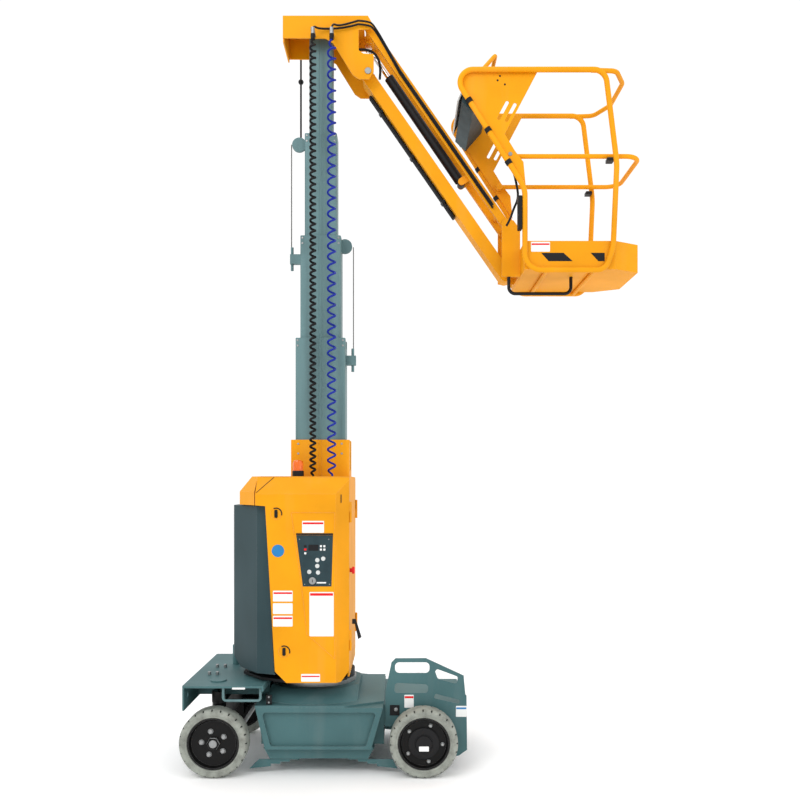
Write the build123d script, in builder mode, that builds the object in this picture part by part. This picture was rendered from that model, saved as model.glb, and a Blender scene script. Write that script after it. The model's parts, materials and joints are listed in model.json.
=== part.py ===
from build123d import *
from math import cos, radians, sin
import os

os.makedirs("parts", exist_ok=True)

# Vertical mast lift, in millimetres. +X runs along the chassis towards the basket, +Y across it,
# +Z up. The origin is on the floor under the slewing axis. "near" is the -Y side.

# Clearances
fit_gap = 0.3          # seated pieces and pieces in one another's bores
run_gap = 0.05         # radial gap of a shaft in its bearing
slide_gap = 0.5        # wear pad to mast section
seam = 5.0             # open seam round a moving cover

# Wheels and axles
wheel_base = 1200.0
steer_x = -550.0
drive_x = steer_x + wheel_base
tyre_radius = 195.0
tyre_width = 125.0
tyre_bore = 148.0
tyre_shoulder = 20.0
overall_width = 990.0
wheel_y = (overall_width - tyre_width) / 2
axle_z = tyre_radius
rim_wall = 10.0
rim_inset = 8.0
web_thickness = 12.0
web_inset = 22.0
spindle_radius = 26.0

# Steering
kingpin_y = 330.0
kingpin_radius = 20.0
boss_radius = 34.0
cap_radius = 39.0
cap_height = 66.0
steer_arm = 120.0
tie_rod_radius = 12.0
tie_rod_eye = 18.0
tie_pin_radius = 8.0

# Chassis
deck_z = 402.0
deck_plate = 12.0
deck_half_width = 440.0
frame_half_width = 330.0
frame_left = -300.0
frame_right = 420.0
frame_bottom = 150.0
skirt_bottom = 87.0
skirt_half_width = 400.0
spine_half_width = 150.0
beam_bottom = 262.0
beam_top = 398.0
beam_half_length = 40.0
steer_deck_left = -731.0
steer_deck_right = -265.0
steer_deck_top = 521.0
steer_deck_half_width = 470.0
steer_deck_plate = 12.0
end_panel_bottom = 380.0
tie_down_y = 380.0
tie_down_z = 450.0
tie_down_radius = 16.0
rear_box_right = 890.0
rear_box_bottom = 260.0
rear_box_top = 382.0
guard_thickness = 8.0

# Turntable and slewing
pedestal_foot_radius = 420.0
pedestal_top_radius = 300.0
pedestal_top = 462.0
pedestal_half_length = 265.0
ring_radius = 240.0
ring_top = 490.0
hub_radius = 232.0
turret_floor_z = 530.0
turret_floor_plate = 15.0

# Turret
turret_rear = -505.0
turret_front = 217.0
cover_y = 430.0
cover_facet_x = 146.0
cover_facet_y = 350.0
cover_wall = 5.0
cover_bend_z = 1617.0
roof_z = 1720.0
roof_half_width = 330.0
roof_wall = 6.0
weight_top = 1547.0
weight_bottom = 575.0
front_panel_plate = 10.0
hinge_x = turret_front + 7.0
hinge_y = 338.0
hinge_radius = 7.0
hinge_pin_radius = 4.0
hinge_leaf = 60.0
hinge_heights = (700.0, 1450.0)

# Mast: section width along X, depth along Y, length and height of the top at rest
mast_x = 25.0
mast_wall = 8.0
mast_corner = 12.0
pad_height = 60.0
mast_base_size = (358.0, 240.0, 1946.0)
stage_length = 1440.0
groove_width = 22.0
groove_depth = 2.5
STAGES = (
    # name, width, depth, top
    ("mast_stage_1", 305.0, 210.0, 2572.0),
    ("mast_stage_2", 250.0, 180.0, 3204.0),
    ("mast_stage_3", 199.0, 150.0, 3839.0),
    ("mast_stage_4", 145.0, 120.0, 4523.0),
)
notch_half_width = 40.0
sheave_radius = 45.0
sheave_width = 18.0
chain_width = 16.0
chain_thickness = 12.0
left_chain_x = -160.0
right_chain_x = 219.0
anchor_drop = 51.0
anchor_height = 105.0
sheave_drop = 45.0

# Mast head and jib
head_top = 4531.0
head_plate = 8.0
head_half_gap = 126.0
pin_radius = 14.0
lower_pivot = (319.0, 4194.0)
pivot_offset = (-5.0, 300.0)
jib_length = 1494.0
jib_angle = -55.3
lower_arm_half_width = 58.0
lower_arm_depth = 75.0
lower_arm_wall = 8.0
lower_hub_radius = 38.0
upper_bar_inner = 66.0
upper_bar_width = 28.0
upper_bar_depth = 50.0
upper_hub_radius = 28.0
barrel_radius = 30.0
rod_radius = 16.0
foot_lug = 8.0
foot_lug_radius = 22.0
foot_pin_radius = 10.0
lug_gap = 6.0
lug_plate = 16.0
cylinder_drop = 57.0
cylinder_foot = 1106.0
rod_eye_at_head = (318.0, 4400.0)
stop_rod_place = (-123.0, 152.0)
stop_rod_radius = 6.0
stop_rod_bottom = 3900.0
stop_rod_top = 4460.0
stop_clip_height = 30.0
stop_ball_z = 4260.0
stop_ball_radius = 17.0

# Basket
basket_half_width = 317.0
tube_radius = 16.0
cross_tube_radius = 12.0
basket_left = 1249.0
basket_post_top = 3417.0
basket_rail_z = 4113.0
basket_bottom_z = 2934.0
floor_z = 2960.0
toe_board_top = 3110.0
toe_board_wall = 4.0
floor_under = 2942.0
gate_pivot = (1165.0, 3623.0)
gate_half_width = 262.0
gate_radius = 14.0
gate_front = 1945.0
side_plate = 4.0
mount_plate_y = 100.0
mount_plate = 10.0

# Worked-out places
upper_pivot = (lower_pivot[0] + pivot_offset[0], lower_pivot[1] + pivot_offset[1])
jib_dir = (cos(radians(jib_angle)), sin(radians(jib_angle)))
jib_reach = (jib_length * jib_dir[0], jib_length * jib_dir[1])
lower_end = (lower_pivot[0] + jib_reach[0], lower_pivot[1] + jib_reach[1])
upper_end = (upper_pivot[0] + jib_reach[0], upper_pivot[1] + jib_reach[1])
SIDES = (("near", -1), ("far", 1))


def finish(builder, name):
    """Label a finished piece and write its STEP file."""
    builder.part.label = name
    export_step(builder.part, f"parts/{name}.step")


def xz_plane(y):
    """Plane whose sketch runs along X and Z at the given Y, facing -Y."""
    return Plane(origin=(0, y, 0), x_dir=(1, 0, 0), z_dir=(0, -1, 0))


def tube_through(points, bends, radius, close=False):
    """Round bar whose centre line runs through the points, with the given bend radii."""
    with BuildPart() as bar:
        with BuildLine() as line:
            FilletPolyline(points, radius=bends, close=close)
        with BuildSketch(Plane(origin=line.wire() @ 0, z_dir=line.wire() % 0)):
            Circle(radius)
        sweep(path=line.wire())
    return bar.part


# Wheels: name, axle place along X, side of the machine, driven
WHEELS = (
    ("steer_near", steer_x, -1, False),
    ("steer_far", steer_x, 1, False),
    ("drive_near", drive_x, -1, True),
    ("drive_far", drive_x, 1, True),
)
rim_half_width = tyre_width / 2 - rim_inset
web_out = rim_half_width - web_inset
web_in = web_out - web_thickness
hub_inner_y = wheel_y + web_in - web_thickness

for wheel, x, side, driven in WHEELS:
    # The sketch of a wheel runs outwards from the machine (local X) and up (local Y).
    hub = Plane(origin=(x, side * wheel_y, axle_z), x_dir=(0, side, 0), z_dir=(side, 0, 0))
    spin = Axis((x, side * wheel_y, axle_z), (0, 1, 0))

    with BuildPart() as tyre:
        with BuildSketch(hub) as section:
            with Locations((0, (tyre_radius + tyre_bore) / 2)):
                Rectangle(tyre_width, tyre_radius - tyre_bore)
            fillet(section.vertices().group_by(Axis.Y)[-1], tyre_shoulder)
        revolve(axis=spin)
    finish(tyre, f"tyre_{wheel}")

    rim_radius = tyre_bore - fit_gap
    bore = spindle_radius + run_gap
    with BuildPart() as rim:
        with BuildSketch(hub):
            with BuildLine():
                Polyline(
                    (-rim_half_width, rim_radius - rim_wall),
                    (-rim_half_width, rim_radius),
                    (rim_half_width, rim_radius),
                    (rim_half_width, rim_radius - rim_wall),
                    (web_out, rim_radius - 2 * rim_wall),
                    (web_out, bore),
                    (web_in - web_thickness, bore),
                    (web_in - web_thickness, 2 * bore),
                    (web_in, 2 * bore),
                    (web_in, rim_radius - rim_wall),
                    close=True,
                )
            make_face()
        revolve(axis=spin)
        if driven:
            # Raised ring of the hub motor's flange, with five studs
            with BuildSketch(Plane(origin=hub.from_local_coords((web_out, 0, 0)), x_dir=(1, 0, 0), z_dir=(0, side, 0))):
                Circle(84.0)
                Circle(bore, mode=Mode.SUBTRACT)
            extrude(amount=10.0)
    finish(rim, f"rim_{wheel}")

# Knuckles: kingpin with cap, yoke, spindle and steering arm in one forging
knuckle_bottom = 150.0
arm_top = beam_bottom - 2.0
arm_bottom = arm_top - 20.0
yoke_half_length = 32.0
spindle_end = wheel_y + rim_half_width - web_inset + 16.0
yoke_end = hub_inner_y - fit_gap
for name, side in SIDES:
    with BuildPart() as knuckle:
        with BuildSketch(Plane.XY.offset(arm_bottom)):
            with Locations((steer_x, side * kingpin_y)):
                Circle(kingpin_radius)
        extrude(amount=beam_top + 2.0 - arm_bottom)
        with BuildSketch(Plane.XY.offset(beam_top + 2.0)):
            with Locations((steer_x, side * kingpin_y)):
                Circle(cap_radius)
        extrude(amount=cap_height)
        chamfer(knuckle.edges().group_by(Axis.Z)[-1], 4.0)
        with BuildSketch(Plane.XY.offset(knuckle_bottom)):
            with Locations((steer_x, side * (kingpin_y + 2.0))):
                Rectangle(2 * yoke_half_length, 2 * yoke_half_length)
        extrude(amount=arm_top - knuckle_bottom)
        with BuildSketch(Plane.XZ.offset(-side * (kingpin_y + yoke_half_length))):
            with Locations((steer_x, axle_z)):
                Circle(2 * spindle_radius - 8.0)
        extrude(amount=-side * (yoke_end - kingpin_y - yoke_half_length))
        with BuildSketch(Plane.XZ.offset(-side * kingpin_y)):
            with Locations((steer_x, axle_z)):
                Circle(spindle_radius)
        extrude(amount=-side * (spindle_end - kingpin_y))
        with BuildSketch(Plane.XZ.offset(-side * (wheel_y + rim_half_width - web_inset + fit_gap))):
            with Locations((steer_x, axle_z)):
                RegularPolygon(36.0, 6)
        extrude(amount=-side * 20.0)
        with BuildSketch(Plane.XY.offset(arm_bottom)):
            with Locations((steer_x + steer_arm / 2, side * kingpin_y)):
                SlotCenterToCenter(steer_arm, 2 * tie_rod_eye)
        extrude(amount=arm_top - arm_bottom)
        with BuildSketch(Plane.XY.offset(arm_bottom - 30.0)):
            with Locations((steer_x + steer_arm, side * kingpin_y)):
                Circle(tie_pin_radius)
        extrude(amount=30.0)
    finish(knuckle, f"knuckle_{name}")

with BuildPart() as tie_rod:
    rod_z = arm_bottom - fit_gap - tie_rod_eye / 2
    with BuildSketch(Plane.XZ.offset(-kingpin_y)):
        with Locations((steer_x + steer_arm, rod_z)):
            Rectangle(tie_rod_eye, tie_rod_eye)
    extrude(amount=2 * kingpin_y)
    with BuildSketch(Plane.XY.offset(rod_z - tie_rod_eye / 2)):
        with Locations((steer_x + steer_arm, -kingpin_y), (steer_x + steer_arm, kingpin_y)):
            Circle(tie_rod_eye)
    extrude(amount=tie_rod_eye)
    with Locations((steer_x + steer_arm, -kingpin_y, rod_z), (steer_x + steer_arm, kingpin_y, rod_z)):
        Hole(tie_pin_radius + run_gap)
finish(tie_rod, "tie_rod")

with BuildPart() as steer_beam:
    with BuildSketch(Plane.XY.offset(beam_bottom)):
        with Locations((steer_x, 0)):
            Rectangle(2 * beam_half_length, 2 * (kingpin_y - 18.0))
        with Locations((steer_x, -kingpin_y), (steer_x, kingpin_y)):
            Circle(boss_radius)
        with Locations((steer_x, -kingpin_y), (steer_x, kingpin_y)):
            Circle(kingpin_radius + run_gap, mode=Mode.SUBTRACT)
    extrude(amount=beam_top - beam_bottom)
finish(steer_beam, "steer_beam")

# Drive axle: square beam, two hub motor housings and their spindles
motor_radius = 105.0
motor_start = 300.0
motor_end = hub_inner_y - fit_gap
with BuildPart() as drive_axle:
    with BuildSketch(Plane.XZ.offset(-motor_start)):
        with Locations((drive_x, (rear_box_bottom + 130.0) / 2)):
            Rectangle(100.0, rear_box_bottom - 130.0)
    extrude(amount=2 * motor_start)
    with BuildSketch(Plane.XZ.offset(-motor_end)):
        with Locations((drive_x, axle_z)):
            Circle(58.0)
    extrude(amount=2 * motor_end)
    for end in (-1, 1):
        with BuildSketch(Plane.XZ.offset(-end * (frame_half_width + 22.0))):
            with Locations((drive_x, axle_z)):
                Circle(motor_radius)
        extrude(amount=-end * (motor_end - frame_half_width - 22.0))
        with BuildSketch(Plane.XZ.offset(-end * motor_start)):
            with Locations((drive_x, axle_z)):
                Circle(spindle_radius)
        extrude(amount=-end * (spindle_end - motor_start))
finish(drive_axle, "drive_axle")

# Chassis frame: middle box, skirt, spine under the steer deck, box over the drive axle, deck plate
with BuildPart() as chassis_frame:
    with BuildSketch(Plane.XY.offset(frame_bottom)):
        with Locations(((frame_left + frame_right) / 2, 0)):
            Rectangle(frame_right - frame_left, 2 * frame_half_width)
    extrude(amount=deck_z - deck_plate - frame_bottom)
    with BuildSketch(xz_plane(0)):
        with BuildLine():
            Polyline(
                (frame_left + 25, frame_bottom),
                (frame_right - 55, frame_bottom),
                (frame_right - 90, skirt_bottom),
                (frame_left + 60, skirt_bottom),
                close=True,
            )
        make_face()
    extrude(amount=skirt_half_width, both=True)
    # Spine that carries the steer deck and the steer beam
    with BuildSketch(Plane.XY.offset(beam_top)):
        with Locations(((steer_deck_left + steer_deck_plate + frame_left) / 2, 0)):
            Rectangle(frame_left - steer_deck_left - steer_deck_plate, 2 * spine_half_width)
    extrude(amount=steer_deck_top - steer_deck_plate - beam_top)
    with BuildSketch(Plane.XY.offset(steer_deck_top - steer_deck_plate)):
        with Locations(((frame_left + steer_deck_right - steer_deck_plate) / 2, 0)):
            Rectangle(steer_deck_right - steer_deck_plate - frame_left, 2 * spine_half_width)
    extrude(amount=-(steer_deck_top - steer_deck_plate - deck_z))
    with BuildSketch(Plane.XY.offset(rear_box_bottom)):
        with Locations(((frame_right + rear_box_right) / 2, 0)):
            Rectangle(rear_box_right - frame_right, 2 * frame_half_width)
    extrude(amount=rear_box_top - rear_box_bottom)
    with BuildSketch(Plane.XY.offset(deck_z - deck_plate)):
        with BuildLine():
            Polyline(
                (steer_deck_right - 55, -deck_half_width),
                (190, -deck_half_width),
                (frame_right, -frame_half_width),
                (frame_right, frame_half_width),
                (190, deck_half_width),
                (steer_deck_right - 55, deck_half_width),
                close=True,
            )
        make_face()
    extrude(amount=deck_plate)
finish(chassis_frame, "chassis_frame")

# Steer deck: top plate and end panel, open at the sides
with BuildPart() as steer_deck:
    with BuildSketch(xz_plane(0)):
        with BuildLine():
            Polyline(
                (steer_deck_left, end_panel_bottom),
                (steer_deck_left, steer_deck_top),
                (steer_deck_right, steer_deck_top),
                (steer_deck_right, steer_deck_top - 30.0),
                (steer_deck_right - steer_deck_plate, steer_deck_top - 30.0),
                (steer_deck_right - steer_deck_plate, steer_deck_top - steer_deck_plate),
                (steer_deck_left + steer_deck_plate, steer_deck_top - steer_deck_plate),
                (steer_deck_left + steer_deck_plate, end_panel_bottom),
                close=True,
            )
        make_face()
    extrude(amount=steer_deck_half_width, both=True)
    fillet(steer_deck.edges().filter_by(Axis.Z).group_by(Axis.X)[0], 11.0)
    # Tie-down holes in the end panel
    with BuildSketch(Plane(origin=(steer_deck_left, 0, 0), x_dir=(0, 1, 0), z_dir=(1, 0, 0))):
        with Locations((-tie_down_y, tie_down_z), (tie_down_y, tie_down_z)):
            Circle(tie_down_radius)
    extrude(amount=steer_deck_plate, mode=Mode.SUBTRACT)
finish(steer_deck, "steer_deck")

# Side panels: trapezoid with a pressed field
with BuildPart() as side_panels:
    for side in (-1, 1):
        with BuildSketch(xz_plane(side * frame_half_width)):
            with BuildLine():
                Polyline(
                    (frame_left - 18, deck_z - deck_plate),
                    (frame_right - 4, deck_z - deck_plate),
                    (frame_right - 72, frame_bottom),
                    (frame_left + 39, frame_bottom),
                    close=True,
                )
            make_face()
        extrude(amount=-side * (deck_half_width - frame_half_width))
        with BuildSketch(xz_plane(side * deck_half_width)):
            with BuildLine():
                FilletPolyline(
                    (frame_left + 20, deck_z - 40),
                    (frame_right - 42, deck_z - 40),
                    (frame_right - 102, frame_bottom + 18),
                    (frame_left + 70, frame_bottom + 18),
                    close=True,
                    radius=18.0,
                )
            make_face()
        extrude(amount=side * 22.0, mode=Mode.SUBTRACT)
finish(side_panels, "side_panels")

# Guard plate by the near drive wheel, with four slots
with BuildPart() as guard_plate:
    with BuildSketch(xz_plane(-frame_half_width)):
        with BuildLine():
            Polyline(
                (428, 457), (464, 629), (488, 653), (666, 654), (887, 552), (897, 442),
                (904, 435), (907, 118), (857, 82), (800, 82), (790, rear_box_bottom - 5),
                (frame_right + 8, rear_box_bottom - 5),
                close=True,
            )
        make_face()
        with BuildLine():
            FilletPolyline((485, 567), (485, 630), (687, 630), (687, 567), close=True, radius=24.0)
        make_face(mode=Mode.SUBTRACT)
        with BuildLine():
            FilletPolyline(
                (712, 598), (853, 546), (848, 504), (735, 533), close=True, radius=(14.0, 14.0, 14.0, 20.0)
            )
        make_face(mode=Mode.SUBTRACT)
        with BuildLine():
            FilletPolyline((480, 451), (486, 510), (678, 500), (678, 451), close=True, radius=18.0)
        make_face(mode=Mode.SUBTRACT)
        with BuildLine():
            FilletPolyline((712, 420), (722, 446), (864, 408), (860, 388), close=True, radius=8.0)
        make_face(mode=Mode.SUBTRACT)
    extrude(amount=guard_thickness)
finish(guard_plate, "guard_plate")

# Pothole guards: stepped plates under the skirt
with BuildPart() as pothole_guards:
    guard_y = skirt_half_width - 12.0
    for side in (-1, 1):
        with BuildSketch(xz_plane(side * guard_y)):
            with BuildLine():
                Polyline(
                    (-305, skirt_bottom - 8), (-240, skirt_bottom - 8), (-240, skirt_bottom),
                    (-70, skirt_bottom), (-70, 76), (-125, 76), (-125, 64), (-180, 64),
                    (-180, 52), (-235, 52), (-235, 38), (-360, 24),
                    close=True,
                )
            make_face()
            with BuildLine():
                Polyline(
                    (frame_right - 90, skirt_bottom), (frame_right - 90, skirt_bottom - 8),
                    (470, skirt_bottom - 8), (500, 24), (380, 38), (380, 52), (325, 52), (325, 64),
                    (270, 64), (270, 76), (215, 76), (215, skirt_bottom),
                    close=True,
                )
            make_face()
        extrude(amount=side * 6.0)
finish(pothole_guards, "pothole_guards")

# Turntable pedestal: cone cut flat at both ends
with BuildPart() as turntable:
    with BuildSketch(Plane.XY.offset(deck_z)):
        Circle(pedestal_foot_radius)
    with BuildSketch(Plane.XY.offset(pedestal_top)):
        Circle(pedestal_top_radius)
    loft()
    with BuildSketch(Plane.XY.offset(deck_z)):
        Rectangle(2 * pedestal_half_length, 2 * pedestal_foot_radius)
    extrude(amount=pedestal_top - deck_z, mode=Mode.INTERSECT)
finish(turntable, "turntable")

with BuildPart() as slew_ring:
    with BuildSketch(Plane.XY.offset(pedestal_top)):
        Circle(ring_radius)
        Circle(ring_radius - 60.0, mode=Mode.SUBTRACT)
    extrude(amount=ring_top - pedestal_top)
finish(slew_ring, "slew_ring")

# Post and bent bar at the steer deck
post_place = (-535.0, 140.0)
post_radius = 24.0
post_height = 125.0
with BuildPart() as deck_post:
    with BuildSketch(Plane.XY.offset(steer_deck_top)):
        with Locations(post_place):
            Circle(post_radius)
    extrude(amount=post_height)
    chamfer(deck_post.edges().group_by(Axis.Z)[-1], 3.0)
finish(deck_post, "deck_post")

bar_radius = 8.0
bar_y = -(steer_deck_half_width - 20.0)
bar_top = steer_deck_top - steer_deck_plate
bar_points = ((-498, bar_y, bar_top), (-498, bar_y, 434), (-285, bar_y, 434), (-285, bar_y, bar_top))
bar_tube = tube_through(bar_points, [18.0, 18.0], bar_radius)
with BuildPart() as side_bar:
    add(bar_tube)
finish(side_bar, "side_bar")

# Turret base: floor plate on the slewing hub
with BuildPart() as turret_base:
    with BuildSketch(Plane.XY.offset(ring_top + fit_gap)):
        Circle(hub_radius)
    extrude(amount=turret_floor_z - ring_top - fit_gap)
    with BuildSketch(Plane.XY.offset(turret_floor_z)):
        with BuildLine():
            Polyline(
                (-430, -180), (-300, -340), (-160, -415), (cover_facet_x - 6, -415), (turret_front - 12, -340),
                (turret_front - 12, 340), (cover_facet_x - 6, 415), (-160, 415), (-300, 340), (-430, 180),
                close=True,
            )
        make_face()
    extrude(amount=turret_floor_plate)
finish(turret_base, "turret_base")

turret_floor_top = turret_floor_z + turret_floor_plate


def mast_section(width, depth, bottom, top, inner):
    """Hollow mast section with corner radii and side grooves; the pad ring at its mouth guides the
    next section, whose width and depth are given as inner."""
    with BuildPart() as section:
        with BuildSketch(Plane.XY.offset(bottom)):
            with Locations((mast_x, 0)):
                RectangleRounded(width, depth, mast_corner)
                Rectangle(width - 2 * mast_wall, depth - 2 * mast_wall, mode=Mode.SUBTRACT)
                with Locations((0, -depth / 2), (0, depth / 2)):
                    Rectangle(groove_width, 2 * groove_depth, mode=Mode.SUBTRACT)
        extrude(amount=top - bottom)
        if inner:
            with BuildSketch(Plane.XY.offset(top)):
                with Locations((mast_x, 0)):
                    Rectangle(width - 2 * mast_wall, depth - 2 * mast_wall)
                    Rectangle(inner[0] + 2 * slide_gap, inner[1] + 2 * slide_gap, mode=Mode.SUBTRACT)
            extrude(amount=-pad_height)
    return section.part


def mast_foot(width, depth, bottom, outer):
    """Pad ring round the foot of a section, guided by the section outside it."""
    with BuildPart() as foot:
        with BuildSketch(Plane.XY.offset(bottom)):
            with Locations((mast_x, 0)):
                Rectangle(outer[0] - 2 * (mast_wall + slide_gap), outer[1] - 2 * (mast_wall + slide_gap))
                Rectangle(width - mast_wall, depth - mast_wall, mode=Mode.SUBTRACT)
        extrude(amount=pad_height)
    return foot.part


def notch(direction, top, depth, width):
    """Cut an open notch in the wall that faces left (-1) or right (+1), for chain fittings that pass."""
    with Locations((mast_x + direction * width / 2, 0, top)):
        Box(8 * mast_wall, 2 * notch_half_width, 2 * depth, mode=Mode.SUBTRACT)


base_section = mast_section(
    mast_base_size[0], mast_base_size[1], turret_floor_top, mast_base_size[2], STAGES[0][1:3]
)
with BuildPart() as mast_base:
    add(base_section)
    notch(-1, mast_base_size[2], 130.0, mast_base_size[0])
    notch(1, mast_base_size[2], 185.0, mast_base_size[0])
finish(mast_base, "mast_base")

outer = mast_base_size[:2]
for number, (name, width, depth, top) in enumerate(STAGES, start=1):
    inner = STAGES[number][1:3] if number < len(STAGES) else None
    left_face = mast_x - width / 2
    right_face = mast_x + width / 2
    length = stage_length if inner else stage_length + top - 4470.0
    section = mast_section(width, depth, top - length, top, inner)
    foot = mast_foot(width, depth, top - length, outer)
    with BuildPart() as stage:
        add(section)
        add(foot)
        if number == 1:
            notch(-1, top, 190.0, width)
            notch(1, top, 50.0, width)
            with BuildSketch(Plane.XY.offset(top - anchor_drop - anchor_height)):
                with Locations(((right_face - 1 + right_chain_x + 20) / 2, 0)):
                    Rectangle(right_chain_x + 20 - right_face + 1, 34.0)
            extrude(amount=anchor_height - 45.0)
            with BuildSketch(Plane.XY.offset(top - anchor_drop - anchor_height - 40.0)):
                with Locations((right_chain_x, 0)):
                    Circle(9.0)
            extrude(amount=anchor_height + 40.0)
        if number == 2:
            notch(-1, top, 45.0, width)
            with BuildSketch(Plane.XY.offset(top - anchor_drop - anchor_height)):
                with Locations(((left_face + 1 + left_chain_x - 12) / 2, 0)):
                    Rectangle(left_face + 1 - left_chain_x + 12, 34.0)
            extrude(amount=anchor_height - 45.0)
            with BuildSketch(Plane.XY.offset(top - anchor_drop - anchor_height - 40.0)):
                with Locations((left_chain_x, 0)):
                    Circle(9.0)
            extrude(amount=anchor_height + 40.0)
            with BuildSketch(xz_plane(0)):
                with Locations((right_chain_x - sheave_radius - 4, top - sheave_drop)):
                    Circle(sheave_radius)
            extrude(amount=sheave_width / 2, both=True)
        if number == 3:
            with BuildSketch(xz_plane(0)):
                with Locations((left_chain_x + sheave_radius, top - sheave_drop)):
                    Circle(sheave_radius)
            extrude(amount=sheave_width / 2, both=True)
    finish(stage, name)
    outer = (width, depth)

# Leaf chains, outside the mast: name, place along X, anchored stage, stage with the sheave
CHAINS = (
    ("chain_left", left_chain_x, STAGES[1][3], STAGES[2][3]),
    ("chain_right", right_chain_x, STAGES[0][3], STAGES[1][3]),
)
for name, x, anchor_top, sheave_top in CHAINS:
    bottom = anchor_top - anchor_drop + fit_gap
    top = sheave_top - sheave_drop
    with BuildPart() as chain:
        with BuildSketch(Plane.XY.offset(bottom)):
            with Locations((x - (4 if x < 0 else -4), 0)):
                Rectangle(chain_thickness / 2, chain_width)
        extrude(amount=top - bottom)
    finish(chain, name)

# Counterweight round the rear of the turret
weight_inner = -292.0
with BuildPart() as counterweight:
    with BuildSketch(Plane.XY.offset(weight_bottom)):
        with BuildLine():
            Polyline(
                (turret_rear, -100), (turret_rear + 10, -130), (-318, -376), (-190, -cover_y + 2),
                (-190, -cover_y + 30), (weight_inner, -352), (weight_inner, 352),
                (-190, cover_y - 30), (-190, cover_y - 2), (-318, 376), (turret_rear + 10, 130),
                (turret_rear, 100),
                close=True,
            )
        make_face()
    extrude(amount=weight_top - weight_bottom)
    # Its front edges lean with the covers' rear edges
    with BuildSketch(xz_plane(0)):
        with BuildLine():
            Polyline(
                (-262 - seam, weight_top), (-206 - seam, 596), (-200 - seam, weight_bottom),
                (-150, weight_bottom), (-150, weight_top),
                close=True,
            )
        make_face()
    extrude(amount=cover_y, both=True, mode=Mode.SUBTRACT)
    # Lower rear chamfer
    with BuildSketch(xz_plane(0)):
        with BuildLine():
            Polyline(
                (turret_rear - 1, weight_bottom - 1), (turret_rear - 1, weight_bottom + 62),
                (turret_rear + 62, weight_bottom - 1),
                close=True,
            )
        make_face()
    extrude(amount=cover_y, both=True, mode=Mode.SUBTRACT)
    # Foot that stands on the turret's floor plate
    with BuildSketch(Plane.XY.offset(turret_floor_top)):
        with Locations((-346.0, 0)):
            Rectangle(100.0, 400.0)
    extrude(amount=weight_bottom - turret_floor_top + 20.0)
finish(counterweight, "counterweight")

battery_size = (110.0, 560.0, 560.0)
with BuildPart() as battery_pack:
    with BuildSketch(Plane.XY.offset(turret_floor_top)):
        with Locations((-222.0, 0)):
            Rectangle(battery_size[0], battery_size[1])
    extrude(amount=battery_size[2])
finish(battery_pack, "battery_pack")

# Roof cap: closed top with a mast opening, sloped towards the rear
roof_bottom = weight_top + seam
roof_rear = -445.0
roof_front = turret_front - front_panel_plate
rear_seam_x = -325.0
with BuildPart() as roof_cap:
    with BuildSketch(Plane.XY.offset(roof_bottom)):
        with BuildLine():
            Polyline(
                (roof_rear, -230), (rear_seam_x, -cover_y + 4), (rear_seam_x, cover_y - 4), (roof_rear, 230),
                close=True,
            )
        make_face()
        with Locations(((rear_seam_x + roof_front) / 2, 0)):
            Rectangle(roof_front - rear_seam_x, 2 * roof_half_width)
    extrude(amount=roof_z - roof_bottom)
    rear_top = roof_cap.edges().group_by(Axis.Z)[-1].filter_by(
        lambda edge: edge.center().X < rear_seam_x - 1
    )
    chamfer(rear_top, 90.0, 70.0)
    # Hollow from below
    with BuildSketch(Plane.XY.offset(roof_bottom)):
        with BuildLine():
            Polyline(
                (roof_rear + 98, -220), (rear_seam_x + roof_wall, -roof_half_width + roof_wall),
                (roof_front - roof_wall, -roof_half_width + roof_wall),
                (roof_front - roof_wall, roof_half_width - roof_wall),
                (rear_seam_x + roof_wall, roof_half_width - roof_wall), (roof_rear + 98, 220),
                close=True,
            )
        make_face()
    extrude(amount=roof_z - roof_wall - roof_bottom, mode=Mode.SUBTRACT)
    with BuildSketch(Plane.XY.offset(roof_bottom)):
        with Locations((mast_x, 0)):
            Rectangle(mast_base_size[0] + 2 * fit_gap, mast_base_size[1] + 2 * fit_gap)
    extrude(amount=roof_z - roof_bottom, mode=Mode.SUBTRACT)
    with BuildSketch(Plane.XY.offset(roof_bottom)):
        with Locations(stop_rod_place):
            Circle(stop_ball_radius + seam)
    extrude(amount=roof_z - roof_bottom, mode=Mode.SUBTRACT)
finish(roof_cap, "roof_cap")

with BuildPart() as front_panel:
    with BuildSketch(Plane.XY.offset(turret_floor_top)):
        with Locations((turret_front - front_panel_plate / 2, 0)):
            Rectangle(front_panel_plate, 2 * (cover_facet_y - 20.0))
    extrude(amount=roof_z - turret_floor_top)
    # Fixed hinge leaves with the pins of the side covers
    for side in (-1, 1):
        for height in hinge_heights:
            with BuildSketch(Plane.XY.offset(height)):
                with Locations((hinge_x, side * hinge_y)):
                    Circle(hinge_radius)
                with Locations((hinge_x - hinge_radius / 2, side * (hinge_y - hinge_radius - 3.0))):
                    Rectangle(hinge_radius, 2 * hinge_radius)
            extrude(amount=hinge_leaf)
            with BuildSketch(Plane.XY.offset(height)):
                with Locations((hinge_x, side * hinge_y)):
                    Circle(hinge_pin_radius)
            extrude(amount=2 * hinge_leaf)
finish(front_panel, "front_panel")

# Side covers: shells that open about a pin at their front edge
cover_rear = rear_seam_x + seam
panel_corners = ((-83.0, 1380.0), (129.0, 1380.0), (120.0, 1085.0), (-45.0, 1085.0))


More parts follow.
